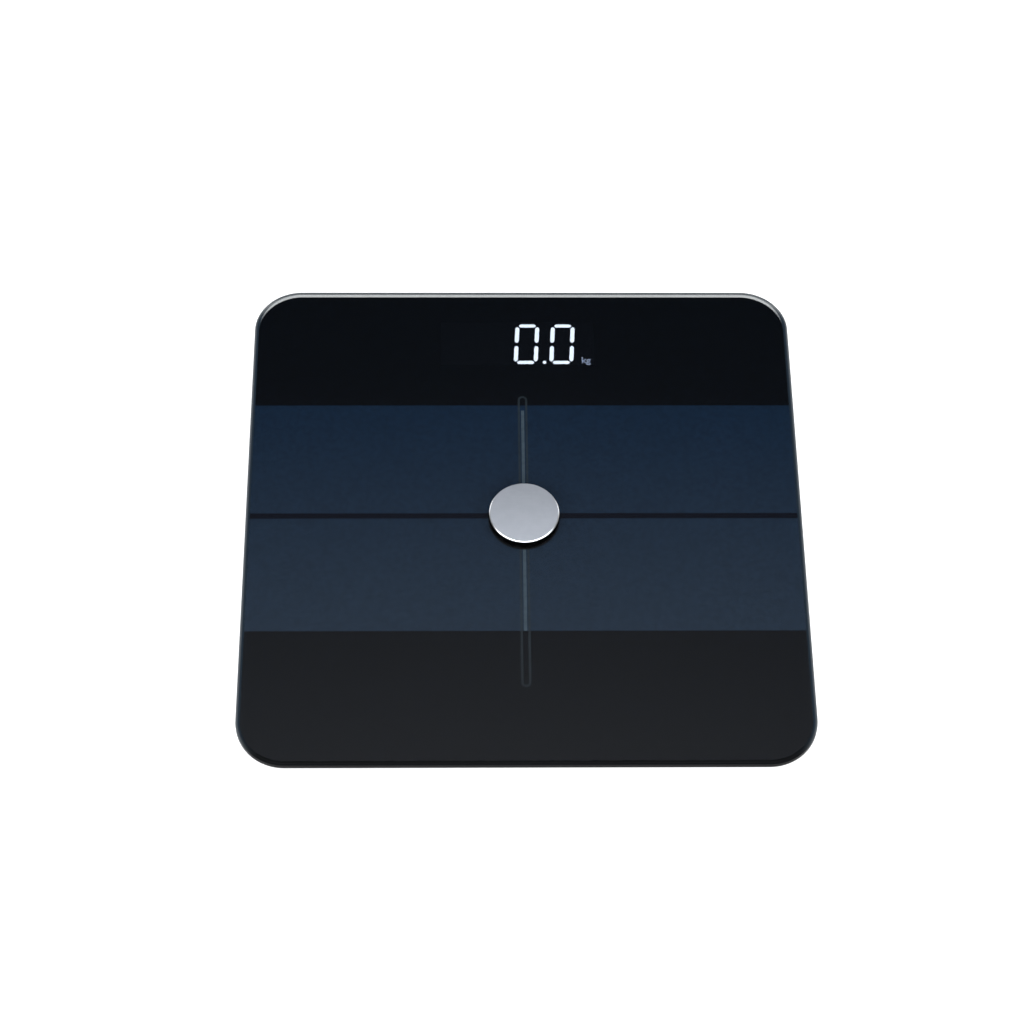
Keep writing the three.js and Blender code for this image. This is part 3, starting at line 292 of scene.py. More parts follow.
arris_in, arris_drop = GLASS_TOP_ARRIS
lower_turns = [math.radians(turn) for turn in (30, 60, 90)]
upper_turns = [math.radians(turn) for turn in range(0, 91, 15)]
glass_levels = [
    (glass_low.z, GLASS_LOWER_ARRIS + FACE_EDGE),
    (glass_low.z, GLASS_LOWER_ARRIS),
    *(
        (glass_low.z + GLASS_LOWER_ARRIS * (1 - math.cos(turn)), GLASS_LOWER_ARRIS * (1 - math.sin(turn)))
        for turn in lower_turns
    ),
    *(
        (glass_high.z - arris_drop * (1 - math.sin(turn)), arris_in * (1 - math.cos(turn)))
        for turn in upper_turns
    ),
    (glass_high.z, arris_in + FACE_EDGE),
]
shown_piece(
    "glass_sheet",
    layered_outline("glass_sheet", glass_low, glass_high, GLASS_CORNER, glass_levels, CORNER_STEPS),
    "platform",
    glass,
    ["glass_platform"],
)


# ---------------------------------------------------------------- printed film
# Opaque inks screened on the underside of the glass: black ends, a blue-grey band over the foot
# zones with a dark line across its middle, and a thin round-ended slot drawn up the centre line.
# Round the centre disc a painted shade is laid into the same colours.

PRINT_CORNER = 23.9 * MM
INK_LAP = 0.02 * MM
BLUE_BAND = (-70.2, 73.4)
CROSS_LINE = (1.2, 1.7)
SLOT_ENDS = (-103.2, 79.0)
SLOT_HALF_WIDTH = 2.05
SLOT_LINE = 0.6
LIGHT_BAR = (-70.2, 70.0, 0.85)
BLACK_INK = ((0.0009, 0.0018, 0.0034), (0.0022, 0.0033, 0.0056))
BLUE_INK = ((0.0036, 0.0122, 0.0292), (0.0128, 0.0232, 0.0400))
LINE_INK = (0.0012, 0.0024, 0.0068)
# where the painted shade round the disc lies, in millimetres
DISC_SHADE = {"offset": -1.0, "inside": 18.5, "outside": 19.8}
SLOT_INK = (0.018, 0.025, 0.031)
BAR_INK = (0.045, 0.066, 0.085)
PAINTED_DISC_SHADOW = (0.0003, 0.0004, 0.0006)
WINDOW_BORDER = (3.0, 2.0)
WINDOW_SOFTNESS = 0.1
WINDOW_SMOKE = (0.30, 0.31, 0.33, 1.0)
film_low, film_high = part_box("printed_film")
display_low, display_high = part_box("display_module")

ink = Finish("screened_ink", Specular_IOR_Level=0.0)
edge = 0.08
in_band = ink.within(ink.y, BLUE_BAND[0], BLUE_BAND[1], edge)
on_line = ink.near(ink.sum("SUBTRACT", ink.y, CROSS_LINE[0]), CROSS_LINE[1], edge)
past_end = ink.sum(
    "MAXIMUM",
    ink.sum("SUBTRACT", ink.y, SLOT_ENDS[1] - SLOT_HALF_WIDTH),
    ink.sum("SUBTRACT", SLOT_ENDS[0] + SLOT_HALF_WIDTH, ink.y),
)
from_spine = ink.length(ink.x, ink.sum("MAXIMUM", past_end, 0.0))
on_slot = ink.near(ink.sum("SUBTRACT", from_spine, SLOT_HALF_WIDTH), SLOT_LINE, edge)
along_bar = ink.within(ink.y, LIGHT_BAR[0], LIGHT_BAR[1], edge)
on_bar = ink.sum("MULTIPLY", ink.near(ink.x, LIGHT_BAR[2], edge), along_bar)
mottle = ink.step(ink.noise(2.2, 4), 0.25, 0.75, 0.86, 1.14)
# the black and the blue grounds are a little lighter towards the near side than towards the far side
near_ramp = ink.step(ink.y, -150.0, 150.0, 1.0, 0.0)
band_near_ramp = ink.step(ink.y, -110.0, 110.0, 1.0, 0.0)
black = ink.blend(near_ramp, BLACK_INK[0], BLACK_INK[1])
blue = ink.blend(band_near_ramp, BLUE_INK[0], BLUE_INK[1])
ground = ink.blend(in_band, black, blue)
ground = ink.blend(ink.sum("MULTIPLY", in_band, on_line), ground, LINE_INK)
ground = ink.blend(ink.sum("MULTIPLY", on_slot, 0.75), ground, SLOT_INK)
ground = ink.blend(ink.sum("MULTIPLY", on_bar, 0.9), ground, BAR_INK)
# painted shade: a dark patch round the centre disc, set a little towards the near side, stands for the disc's
# shadow and its dark side mirrored in the glass
from_shade = ink.length(ink.x, ink.sum("SUBTRACT", ink.y, DISC_SHADE["offset"]))
in_shade = ink.step(from_shade, DISC_SHADE["inside"], DISC_SHADE["outside"], 1.0, 0.0)
ground = ink.blend(in_shade, ground, PAINTED_DISC_SHADOW)
tone = ink.add("Mix", data_type="RGBA", blend_type="MULTIPLY")
tone.inputs[0].default_value = 1.0
ink.join(ground, tone.inputs[6])
ink.join(mottle, tone.inputs[7])
ink.colour(tone.outputs[2])
ink.roughness(ink.step(ink.noise(11, 3), 0.2, 0.8, 0.38, 0.56))
ink.relief(ink.noise(0.35, 2), 0.004 * MM)

# the inks stop short of the read-out, where a smoke-grey lacquer hides the module until it is lit
display_middle = (display_low + display_high) / 2 / MM
window_reach = (display_high - display_low) / 2 / MM
off_x = ink.sum("SUBTRACT", ink.x, display_middle.x)
off_y = ink.sum("SUBTRACT", ink.y, display_middle.y)
in_window = ink.sum(
    "MULTIPLY",
    ink.near(off_x, window_reach.x - WINDOW_BORDER[0], WINDOW_SOFTNESS),
    ink.near(off_y, window_reach.y - WINDOW_BORDER[1], WINDOW_SOFTNESS),
)
smoke = ink.add("BsdfTransparent")
smoke.inputs["Color"].default_value = WINDOW_SMOKE
lacquer = ink.add("AddShader")
ink.join(ink.shader.outputs[0], lacquer.inputs[0])
ink.join(smoke.outputs[0], lacquer.inputs[1])
ink.surface(ink.mixed(in_window, ink.shader, lacquer))

film_levels = [(film_low.z, 0.0), (glass_low.z + INK_LAP, 0.0)]
shown_piece(
    "printed_ink",
    layered_outline("printed_ink", film_low, film_high, PRINT_CORNER, film_levels, CORNER_STEPS),
    "platform",
    ink,
    ["printed_film"],
)


# ---------------------------------------------------------------- centre disc
# A cap turned from aluminium, satin anodised on its face, with a chamfer cut bright by a diamond
# tool afterwards. A black foam pad bonds it to the glass and leaves a dark line below it.

DISC_CHAMFER = 0.5 * MM
DISC_SKIRT = 1.2 * MM
DISC_CROWN = 0.06 * MM
disc_low, disc_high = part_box("centre_disc")
pad_low, pad_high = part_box("disc_adhesive_pad")


def turned_mesh(name, profile, centre, sides=96):
    """A turned skin. The profile is (radius, height) pairs from the lower middle to the upper middle."""
    rings = []
    for radius, height in profile:
        ring = []
        for side in range(sides):
            angle = 2 * math.pi * side / sides
            ring.append((centre[0] + radius * math.cos(angle), centre[1] + radius * math.sin(angle), height))
        rings.append(ring)
    return stacked_mesh(name, rings)


disc_radius = (disc_high.x - disc_low.x) / 2
disc_middle = ((disc_low.x + disc_high.x) / 2, (disc_low.y + disc_high.y) / 2)
inner_radius = disc_radius - DISC_SKIRT
roof = pad_high.z + 0.3 * MM
disc_profile = [
    (0.4 * MM, roof),
    (inner_radius - 0.5 * MM, roof),
    (inner_radius, roof - 0.5 * MM),
    (inner_radius, disc_low.z + 0.1 * MM),
    (inner_radius + 0.1 * MM, disc_low.z),
    (disc_radius - 0.15 * MM, disc_low.z),
    (disc_radius, disc_low.z + 0.15 * MM),
    (disc_radius, disc_high.z - DISC_CROWN - DISC_CHAMFER),
    (disc_radius - 0.05 * MM, disc_high.z - DISC_CROWN - DISC_CHAMFER + 0.04 * MM),
    (disc_radius - DISC_CHAMFER + 0.05 * MM, disc_high.z - DISC_CROWN - 0.03 * MM),
    (disc_radius - DISC_CHAMFER, disc_high.z - DISC_CROWN),
]
for share in (0.95, 0.8, 0.6, 0.4, 0.2, 0.02):
    at_radius = share * (disc_radius - DISC_CHAMFER)
    disc_profile.append((at_radius, disc_high.z - DISC_CROWN * share * share))

satin = Finish("satin_anodised_aluminium", Metallic=1.0)
from_middle = satin.length(
    satin.sum("SUBTRACT", satin.x, disc_middle[0] / MM), satin.sum("SUBTRACT", satin.y, disc_middle[1] / MM)
)
chamfer_from = (disc_radius - DISC_CHAMFER) / MM
side_top = (disc_high.z - DISC_CHAMFER - DISC_CROWN) / MM
on_chamfer = satin.step(from_middle, chamfer_from - 0.05, chamfer_from + 0.05)
on_side = satin.step(satin.z, side_top - 0.04, side_top + 0.04, 1.0, 0.0)
bright = satin.sum("MULTIPLY", on_chamfer, satin.sum("SUBTRACT", 1.0, on_side))
blast = satin.noise(0.16, 2)
cloud = satin.noise(6, 3)
# painted light: the face is coloured lighter towards the near side, as the sky lights it, over a real cloudy
# mottle
face_tone_painted_light = satin.blend(
    satin.step(satin.y, -19.0, 19.0, 1.0, 0.0),
    satin.mottled(cloud, (0.365, 0.385, 0.43), (0.385, 0.405, 0.45)),
    satin.mottled(cloud, (0.47, 0.495, 0.55), (0.49, 0.515, 0.57)),
)
side_tone = satin.blend(on_side, face_tone_painted_light, (0.004, 0.0045, 0.005))
satin.colour(satin.blend(bright, side_tone, (0.93, 0.94, 0.96)))
fine_scratch = satin.step(satin.noise(0.5, 3, (18, 1, 1)), 0.35, 0.75, 0.0, 0.06)
satin.roughness(
    satin.blend(bright, satin.sum("ADD", satin.step(blast, 0.3, 0.7, 0.40, 0.50), fine_scratch), 0.08)
)
satin.relief(satin.sum("MULTIPLY", blast, satin.sum("SUBTRACT", 1.0, bright)), 0.012 * MM, 0.6)
shown_piece(
    "satin_disc",
    turned_mesh("satin_disc", disc_profile, disc_middle, 160),
    "platform",
    satin,
    ["centre_disc"],
    20,
)

foam = Finish("black_foam", Specular_IOR_Level=0.25)
bubbles = foam.cells(3.2)
foam.colour(foam.mottled(foam.noise(1.2, 3), (0.008, 0.008, 0.009), (0.016, 0.016, 0.018)))
foam.roughness(foam.step(bubbles, 0.0, 0.7, 0.8, 0.97))
foam.relief(bubbles, 0.06 * MM, 0.8)
pad_radius = (pad_high.x - pad_low.x) / 2
pad_profile = [
    (0.4 * MM, pad_low.z),
    (pad_radius - 0.1 * MM, pad_low.z),
    (pad_radius, pad_low.z + 0.15 * MM),
    (pad_radius - 0.06 * MM, (pad_low.z + pad_high.z) / 2),
    (pad_radius, pad_high.z - 0.15 * MM),
    (pad_radius - 0.1 * MM, pad_high.z),
    (0.4 * MM, pad_high.z),
]
shown_piece(
    "disc_pad",
    turned_mesh("disc_pad", pad_profile, disc_middle, 96),
    "platform",
    foam,
    ["disc_adhesive_pad"],
)


# ---------------------------------------------------------------- read-out
# A black moulded block of light wells over the board's lamps, four digits wide. Two digits, the
# point and the unit are lit; the rest show only the grey of their diffusers through the lacquer.

DIGIT = {"width": 13.5, "height": 27.5, "stroke": 2.3, "slant": 0.052, "pitch": 20.0, "count": 4}
DIGIT_SHIFT = (-4.8, 1.0)
SEGMENT_GAP = 0.5
MIDDLE_GAP = 0.45
SEGMENT_SINK = 0.12 * MM
SEGMENT_DEPTH = 0.5 * MM
LIT_DIGITS = (2, 3)
MIDDLE_BAR = 1
LAMP_STRENGTH = 12.0


def bar_outline(length, stroke):
    """A lamp bar with pointed ends, lying along X, its corners drawn in a little."""
    half = length / 2
    nose = stroke / 2
    soft = 0.22
    outline = [(-half, 0.0), (nose - half, -nose), (half - nose, -nose)]
    outline += [(half, 0.0), (half - nose, nose), (nose - half, nose)]
    rounded = []
    for i, (x, y) in enumerate(outline):
        before = Vector(outline[i - 1])
        after = Vector(outline[(i + 1) % len(outline)])
        corner = Vector((x, y))
        rounded.append(corner.lerp(before, soft * stroke / (corner - before).length))
        rounded.append(corner.lerp(after, soft * stroke / (corner - after).length))
    return [(p.x, p.y) for p in rounded]


def digit_bars():
    """The seven bars of a digit: bottom, middle, top, then the uprights, left ones first."""
    across = DIGIT["width"] - DIGIT["stroke"]
    up = (DIGIT["height"] - DIGIT["stroke"]) / 2
    flat = bar_outline(across - 2 * SEGMENT_GAP, DIGIT["stroke"])
    upright = [(-y, x) for x, y in bar_outline(up - 2 * SEGMENT_GAP - MIDDLE_GAP, DIGIT["stroke"] * 1.08)]
    bars = [[(x, y + level) for x, y in flat] for level in (-up, 0.0, up)]
    for side in (-across / 2, across / 2):
        for level in (-(up + MIDDLE_GAP) / 2, (up + MIDDLE_GAP) / 2):
            bars.append([(x + side, y + level) for x, y in upright])
    return [[(x + DIGIT["slant"] * y, y) for x, y in bar] for bar in bars]


def diffuser_mesh(name, outlines, bottom, top):
    """Thin raised blocks with a softened upper edge, one for each outline in millimetres."""
    form = bmesh.new()
    for outline in outlines:
        middle = Vector((sum(x for x, _ in outline), sum(y for _, y in outline))) / len(outline)
        rings = []
        for height, pull in ((bottom, 0.0), (top - 0.08 * MM, 0.0), (top, 0.12)):
            ring = []
            for x, y in outline:
                away = Vector((x, y)) - middle
                moved = middle + away * (1 - pull / max(away.length, 0.4))
                ring.append(form.verts.new((moved.x * MM, moved.y * MM, height)))
            rings.append(ring)
        count = len(outline)
        form.faces.new(list(reversed(rings[0])))
        form.faces.new(rings[-1])
        for lower, upper in zip(rings, rings[1:]):
            for i in range(count):
                after = (i + 1) % count
                form.faces.new((lower[i], lower[after], upper[after], upper[i]))
    bmesh.ops.recalc_face_normals(form, faces=form.faces)
    mesh = bpy.data.meshes.new(name)
    form.to_mesh(mesh)
    form.free()
    return mesh


lit_bars = []
dark_bars = []
for place in range(DIGIT["count"]):
    digit_x = display_middle[0] + DIGIT_SHIFT[0] + (place - (DIGIT["count"] - 1) / 2) * DIGIT["pitch"]
    digit_y = display_middle[1] + DIGIT_SHIFT[1]
    for number, bar in enumerate(digit_bars()):
        placed = [(x + digit_x, y + digit_y) for x, y in bar]
        lit = place in LIT_DIGITS and number != MIDDLE_BAR
        (lit_bars if lit else dark_bars).append(placed)
point_x = display_middle[0] + DIGIT_SHIFT[0] + (DIGIT["count"] / 2 - 1) * DIGIT["pitch"]
point_y = display_middle[1] + DIGIT_SHIFT[1] + (DIGIT["stroke"] - DIGIT["height"]) / 2
point_radius = DIGIT["stroke"] / 2
lit_bars.append(
    [
        (
            point_x - 0.65 + 1.3 * point_radius * math.cos(math.tau * i / 20),
            point_y + 0.3 + 1.45 * point_radius * math.sin(math.tau * i / 20),
        )
        for i in range(20)
    ]
)

lamp = Finish("lit_diffuser", Roughness=0.4, Emission_Strength=LAMP_STRENGTH)
spread = lamp.noise(2.4, 2)
lamp.colour(lamp.mottled(spread, (0.80, 0.84, 0.88), (0.88, 0.90, 0.92)))
lamp.glow(lamp.mottled(spread, (0.88, 0.94, 1.0), (0.98, 0.99, 1.0)))
lamp.worn(lamp.noise(0.8, 2), 0.35, 0.5)
unlit = Finish("unlit_diffuser", Specular_IOR_Level=0.3)
unlit.colour(unlit.mottled(unlit.noise(1.5, 3), (0.010, 0.010, 0.012), (0.014, 0.014, 0.016)))
unlit.worn(unlit.noise(0.6, 2), 0.45, 0.65)
segments = (
    ("lit_segments", lit_bars, "lit_segment", lamp),
    ("unlit_segments", dark_bars, "display_plastic", unlit),
)
for name, bars, slot, finish in segments:
    wells = diffuser_mesh(name, bars, display_high.z - SEGMENT_DEPTH, display_high.z - SEGMENT_SINK)
    shown_piece(name, wells, "platform", finish, [])

# the unit beside the digits: two small letters, lit more dimly and a little bluer


def plain_mesh(shaped):
    """The mesh that an object has once its curve or its modifier is worked out."""
    bpy.context.view_layer.update()
    return bpy.data.meshes.new_from_object(shaped.evaluated_get(bpy.context.evaluated_depsgraph_get()))


UNIT_AT = (36.0, 103.4)
UNIT_STRENGTH = 3.2
UNIT_HEIGHT = 4.6
letters = bpy.data.curves.new("unit_letters", "FONT")
letters.body = "kg"
letters.size = UNIT_HEIGHT * 1.25 * MM
letters.align_x = "CENTER"
letters.extrude = 0.06 * MM
letters.offset = 0.12 * MM
letters_object = bpy.data.objects.new("unit_letters", letters)
bpy.context.scene.collection.objects.link(letters_object)
letters_mesh = plain_mesh(letters_object)
bpy.data.objects.remove(letters_object)
letters_mesh.transform(Matrix.Translation((*(at * MM for at in UNIT_AT), display_high.z + 0.02 * MM)))
unit_lamp = Finish("dim_unit_diffuser", Roughness=0.4, Emission_Strength=UNIT_STRENGTH)
unit_spread = unit_lamp.noise(1.2, 2)
unit_lamp.colour(unit_lamp.mottled(unit_spread, (0.70, 0.76, 0.84), (0.80, 0.84, 0.90)))
unit_lamp.glow(unit_lamp.mottled(unit_spread, (0.62, 0.72, 1.0), (0.78, 0.86, 1.0)))
shown_piece("lit_unit", letters_mesh, "platform", unit_lamp, [])


# ---------------------------------------------------------------- base tray
# The bottom shell, injection moulded in black ABS: a shallow pan with a lip under the glass, ribs,
# screw posts, foot holes and the battery bay, spark-textured outside and plain inside, though here one grain
# covers both.


def merged_copy(node, name, round_over=0.0, segments=2, sharp=35):
    """The mesh of a CAD node as one skin, its sharp edges rounded over by a small amount."""
    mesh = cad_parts[node].data.copy()
    mesh.name = name
    if "custom_normal" in mesh.attributes:
        mesh.attributes.remove(mesh.attributes["custom_normal"])
    form = bmesh.new()
    form.from_mesh(mesh)
    bmesh.ops.remove_doubles(form, verts=form.verts, dist=2e-6)
    bmesh.ops.dissolve_limit(form, angle_limit=math.radians(0.5), verts=form.verts, edges=form.edges)
    if round_over:
        edges = [
            e
            for e in form.edges
            if len(e.link_faces) == 2
            and abs(e.calc_face_angle(0.0)) > math.radians(sharp)
            and e.calc_length() > 2 * round_over
        ]
        bmesh.ops.bevel(
            form,
            geom=edges,
            offset=round_over,
            segments=segments,
            profile=0.5,
            affect="EDGES",
            clamp_overlap=True,
        )
    form.to_mesh(mesh)
    form.free()
    return mesh


def copied_piece(name, node, body, finish, round_over=0.0, smooth=30, segments=2):
    """A CAD node's own shape, its edges rounded over, shown as the piece that stands for it."""
    mesh = merged_copy(node, name, round_over, segments)
    return shown_piece(name, mesh, body, finish, [node], smooth)


def moulded(name, dark, light, spark, roughness=(0.42, 0.62), **constants):
    """Moulded plastic: faint flow marks, a spark-eroded grain and a little rubbed shine."""
    plastic = Finish(name, **constants)
    flow = plastic.noise(24, 4, (1, 2.5, 1))
    grain = plastic.noise(spark, 2)
    rubbed = plastic.step(plastic.noise(15, 5), 0.55, 0.8)
    plastic.colour(plastic.mottled(flow, dark, light))
    base = plastic.step(grain, 0.25, 0.75, roughness[0], roughness[1])
    dull = plastic.sum("SUBTRACT", 1.0, plastic.sum("MULTIPLY", rubbed, 0.22))
    plastic.roughness(plastic.sum("MULTIPLY", base, dull))
    plastic.relief(grain, 0.03 * MM, 0.7)
    return plastic


tray_plastic = moulded("black_tray_plastic", (0.012, 0.0125, 0.0135), (0.018, 0.0185, 0.020), 0.28)
copied_piece("moulded_tray", "base_tray", "platform", tray_plastic, 0.2 * MM)


# ---------------------------------------------------------------- bonding tape and display gasket
# Black acrylic foam tape runs round the rim and bonds the glass to the tray; a softer foam frame
# keeps stray light and dust out of the read-out.

for node, name in (("bonding_tape", "foam_tape"), ("display_gasket", "foam_gasket")):
    copied_piece(name, node, "platform", foam, smooth=28)


# ---------------------------------------------------------------- feet
# Each foot is a moulded cup with four snap fingers and a post that presses its load cell, and a
# rubber pad glued into its lower face, ringed and studded for grip on wet tiles.

POST_RELIEF = 0.05 * MM
PAD_STUDS = {
    "radius": 0.55 * MM,
    "spacing": 2.4 * MM,
    "field": 12.4 * MM,
    "proud": 0.45 * MM,
    "across": 13,
    "taper": 0.72,
}
STUD_ROOT = 0.1 * MM
CORNERS = ("front_left", "front_right", "rear_left", "rear_right")
rubber = Finish("black_rubber", Specular_IOR_Level=0.35)
dust = rubber.step(rubber.noise(4.5, 5), 0.5, 0.72)
touching = rubber.step(rubber.z, 0.0, 0.35, 1.0, 0.0)
rubber.colour(
    rubber.blend(
        rubber.sum("MULTIPLY", dust, rubber.sum("ADD", 0.25, rubber.sum("MULTIPLY", touching, 0.6))),
        (0.016, 0.016, 0.0165),
        (0.052, 0.050, 0.047),
    )
)
rubber.worn(rubber.noise(0.5, 3), 0.72, 0.92)
rubber.relief(rubber.noise(0.25, 2), 0.02 * MM, 0.5)
cup_plastic = moulded(
    "grey_black_foot_plastic", (0.015, 0.015, 0.016), (0.021, 0.021, 0.022), 0.2, (0.38, 0.55)
)


class Growth:
    """A geometry node tree. Its inputs are named after the words given, with spaces for the _."""

    def __init__(self, name, **kinds):
        self.tree = bpy.data.node_groups.new(name, "GeometryNodeTree")
        face = self.tree.interface
        face.new_socket("Geometry", in_out="OUTPUT", socket_type="NodeSocketGeometry")
        for word, kind in kinds.items():
            face.new_socket(word.replace("_", " "), in_out="INPUT", socket_type="NodeSocket" + kind)
        self.given = self.tree.nodes.new("NodeGroupInput").outputs

    def add(self, kind, operation=None, **inputs):
        """A node. Each input is a value or another node's output; a and b are its first two."""
        node = self.tree.nodes.new(kind)
        if operation:
            node.operation = operation
        for word, value in inputs.items():
            socket = node.inputs[{"a": 0, "b": 1}.get(word, word.replace("_", " "))]
            if isinstance(value, bpy.types.NodeSocket):
                self.tree.links.new(value, socket)
            else:
                socket.default_value = value
        return node

    def maths(self, operation, a, b):
        return self.add("ShaderNodeMath", operation, a=a, b=b).outputs[0]

    def end(self, instances, material, centre=None):
        """Makes the instances real, moves them if a centre is given, and gives them their material."""
        real = self.add("GeometryNodeRealizeInstances", a=instances).outputs[0]
        if centre is not None:
            real = self.add("GeometryNodeTransform", Geometry=real, Translation=centre).outputs["Geometry"]
        coat = self.add("GeometryNodeSetMaterial", Geometry=real, Material=material)
        result = self.tree.nodes.new("NodeGroupOutput")
        self.tree.links.new(coat.outputs["Geometry"], result.inputs["Geometry"])
        return self.tree


def stud_tree():
    """Studs on a staggered field, cut to a round edge, standing down from a face."""
    grow = Growth(
        "grip_studs",
        Stud_Radius="Float",
        Stud_Height="Float",
        Spacing="Float",
        Field_Radius="Float",
        Centre="Vector",
        Rubber="Material",
    )
    spacing = grow.given["Spacing"]
    across = PAD_STUDS["across"]
    span = grow.maths("MULTIPLY", spacing, across - 1.0)
    grid = grow.add("GeometryNodeMeshGrid", Vertices_X=across, Vertices_Y=across, Size_X=span, Size_Y=span)
    position = grow.add("GeometryNodeInputPosition").outputs[0]
    row = grow.maths("DIVIDE", grow.add("ShaderNodeSeparateXYZ", a=position).outputs["Y"], spacing)
    odd = grow.maths("PINGPONG", row, 1.0)
    slide = grow.maths("MULTIPLY", grow.maths("MULTIPLY", odd, spacing), 0.5)
    offset = grow.add("ShaderNodeCombineXYZ", X=slide).outputs[0]
    stagger = grow.add("GeometryNodeSetPosition", Geometry=grid.outputs["Mesh"], Offset=offset)
    length = grow.add("ShaderNodeVectorMath", "LENGTH", a=position).outputs["Value"]
    slim = grow.maths("MULTIPLY", grow.given["Stud Radius"], PAD_STUDS["taper"])
    stud = grow.add(
        "GeometryNodeMeshCone",
        Vertices=10,
        Radius_Bottom=grow.given["Stud Radius"],
        Radius_Top=slim,
        Depth=grow.given["Stud Height"],
    )
    spread = grow.add(
        "GeometryNodeInstanceOnPoints",
        Points=stagger.outputs["Geometry"],
        Selection=grow.maths("LESS_THAN", length, grow.given["Field Radius"]),
        Instance=stud.outputs["Mesh"],
        Rotation=(math.pi, 0, 0),
    )
    return grow.end(spread.outputs["Instances"], grow.given["Rubber"], grow.given["Centre"])


def grown_mesh(name, tree, **values):
    """The plain mesh that a node tree makes from its inputs, named with _ for a space."""
    holder = bpy.data.objects.new(name, bpy.data.meshes.new(name))
    bpy.context.scene.collection.objects.link(holder)
    maker = holder.modifiers.new(name, "NODES")
    maker.node_group = tree
    for item in tree.interface.items_tree:
        if item.item_type == "SOCKET" and item.in_out == "INPUT":
            maker[item.identifier] = values[item.name.replace(" ", "_")]
    made = plain_mesh(holder)
    made.name = name
    holder.modifiers.remove(maker)
    bpy.data.objects.remove(holder)
    return made


def joined(name, *meshes):
    """Several meshes as one."""
    form = bmesh.new()
    for mesh in meshes:
        form.from_mesh(mesh)
    mesh = bpy.data.meshes.new(name)
    form.to_mesh(mesh)
    form.free()
    return mesh


studs = stud_tree()
for corner in CORNERS:
    pad_node, cup_node = f"foot_pad_{corner}", f"foot_cup_{corner}"
    low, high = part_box(pad_node)
    middle = ((low.x + high.x) / 2, (low.y + high.y) / 2)
    radius = (high.x - low.x) / 2
    face = low.z + PAD_STUDS["proud"]
    profile = [
        (0.3 * MM, face),
        (radius - 2.6 * MM, face),
        (radius - 2.4 * MM, low.z + 0.1 * MM),
        (radius - 2.2 * MM, low.z),
        (radius - 0.6 * MM, low.z),
        (radius - 0.2 * MM, low.z + 0.12 * MM),
        (radius, low.z + 0.5 * MM),
        (radius, high.z - 0.1 * MM),
        (radius - 0.1 * MM, high.z),
        (0.3 * MM, high.z),
    ]
    tread = grown_mesh(
        f"tread_{corner}",
        studs,
        Stud_Radius=PAD_STUDS["radius"],
        Stud_Height=PAD_STUDS["proud"] + STUD_ROOT,
        Spacing=PAD_STUDS["spacing"],
        Field_Radius=PAD_STUDS["field"],
        Centre=(middle[0], middle[1], face + STUD_ROOT),
        Rubber=rubber.material,
    )
    pad_mesh = joined(f"rubber_pad_{corner}", turned_mesh("pad", profile, middle, 96), tread)
    body = f"foot_{corner}"
    shown_piece(f"rubber_pad_{corner}", pad_mesh, body, rubber, [pad_node], 40)
    cup_mesh = merged_copy(cup_node, f"snap_cup_{corner}", 0.15 * MM)
    post_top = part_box(cup_node)[1].z
    for vertex in cup_mesh.vertices:
        if vertex.co.z > post_top - POST_RELIEF:
            vertex.co.z = post_top - POST_RELIEF
    shown_piece(f"snap_cup_{corner}", cup_mesh, body, cup_plastic, [cup_node], 30)


# ---------------------------------------------------------------- load cells
# Four half-bridge cells blanked from spring steel, tumbled and oiled. The middle tongue carries the
# foot's post; a strain gauge lies under the white silicone on the bending beam.

steel = Finish("tumbled_spring_steel", Metallic=1.0)
rolled = steel.noise(1.1, 4, (9, 1, 1))
heat = steel.noise(14, 3)
steel.colour(
    steel.blend(
        steel.step(heat, 0.35, 0.7),
        steel.mottled(rolled, (0.40, 0.40, 0.41), (0.52, 0.52, 0.53)),
        (0.43, 0.40, 0.36),
    )
)
steel.roughness(steel.step(rolled, 0.25, 0.75, 0.26, 0.44))
steel.relief(rolled, 0.01 * MM, 0.6)
silicone = Finish("gauge_silicone", Roughness=0.4, Specular_IOR_Level=0.4)
silicone.colour(
    silicone.mottled(silicone.noise(1.6, 3), (0.60, 0.60, 0.57), (0.72, 0.72, 0.70))
)
silicone.worn(silicone.noise(0.9, 2), 0.32, 0.5)
SEAL = {"radius": 2.1 * MM, "height": 0.9 * MM, "rings": 5}


def seal_profile(base, radius, height, rings):
    """A low round dab: (radius, height) pairs up a quarter of an ellipse."""
    profile = [(0.1 * MM, base)]
    for step in range(rings + 1):
        lean = step / rings * math.pi / 2
        profile.append((max(radius * math.cos(lean), 0.1 * MM), base + height * math.sin(lean)))
    return profile


for corner in CORNERS:
    node = f"load_cell_{corner}"
    copied_piece(f"cell_plate_{corner}", node, "platform", steel, 0.12 * MM)
    low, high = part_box(node)
    side = 1 if low.x > 0 else -1
    dab_at = (side * (abs(low.x + high.x) / 2), high.y - 2.6 * MM if low.y > 0 else low.y + 2.6 * MM)
    dab = turned_mesh("dab", seal_profile(high.z, SEAL["radius"], SEAL["height"], SEAL["rings"]), dab_at, 24)
    shown_piece(f"gauge_seal_{corner}", dab, "platform", silicone, [], 60)


# ---------------------------------------------------------------- load cell holders
# Natural white ABS frames snapped over the posts of the tray. They hold each cell by its outer rim
# and leave the tongue free.

white_plastic = moulded("natural_white_abs", (0.58, 0.57, 0.54), (0.66, 0.65, 0.62), 0.5, (0.34, 0.5))
for corner in CORNERS:
    node = f"load_cell_holder_{corner}"
    copied_piece(f"cell_frame_{corner}", node, "platform", white_plastic, 0.15 * MM)


# ---------------------------------------------------------------- circuit board
# A green two-sided laminate with its tracks under the solder mask. The controller, the radio can and
# rows of small resistors are soldered to its lower face, and four screws hold it to the tray.

LEG = {"size": (1.1 * MM, 0.32 * MM, 0.3 * MM), "pitch": 0.8 * MM, "margin": 1.2 * MM}
RESISTOR = {"size": (1.6 * MM, 0.8 * MM, 0.45 * MM), "pitch": 2.2 * MM, "count": 5, "aside": 3.6 * MM}
SOLDER_GAP = 0.02 * MM


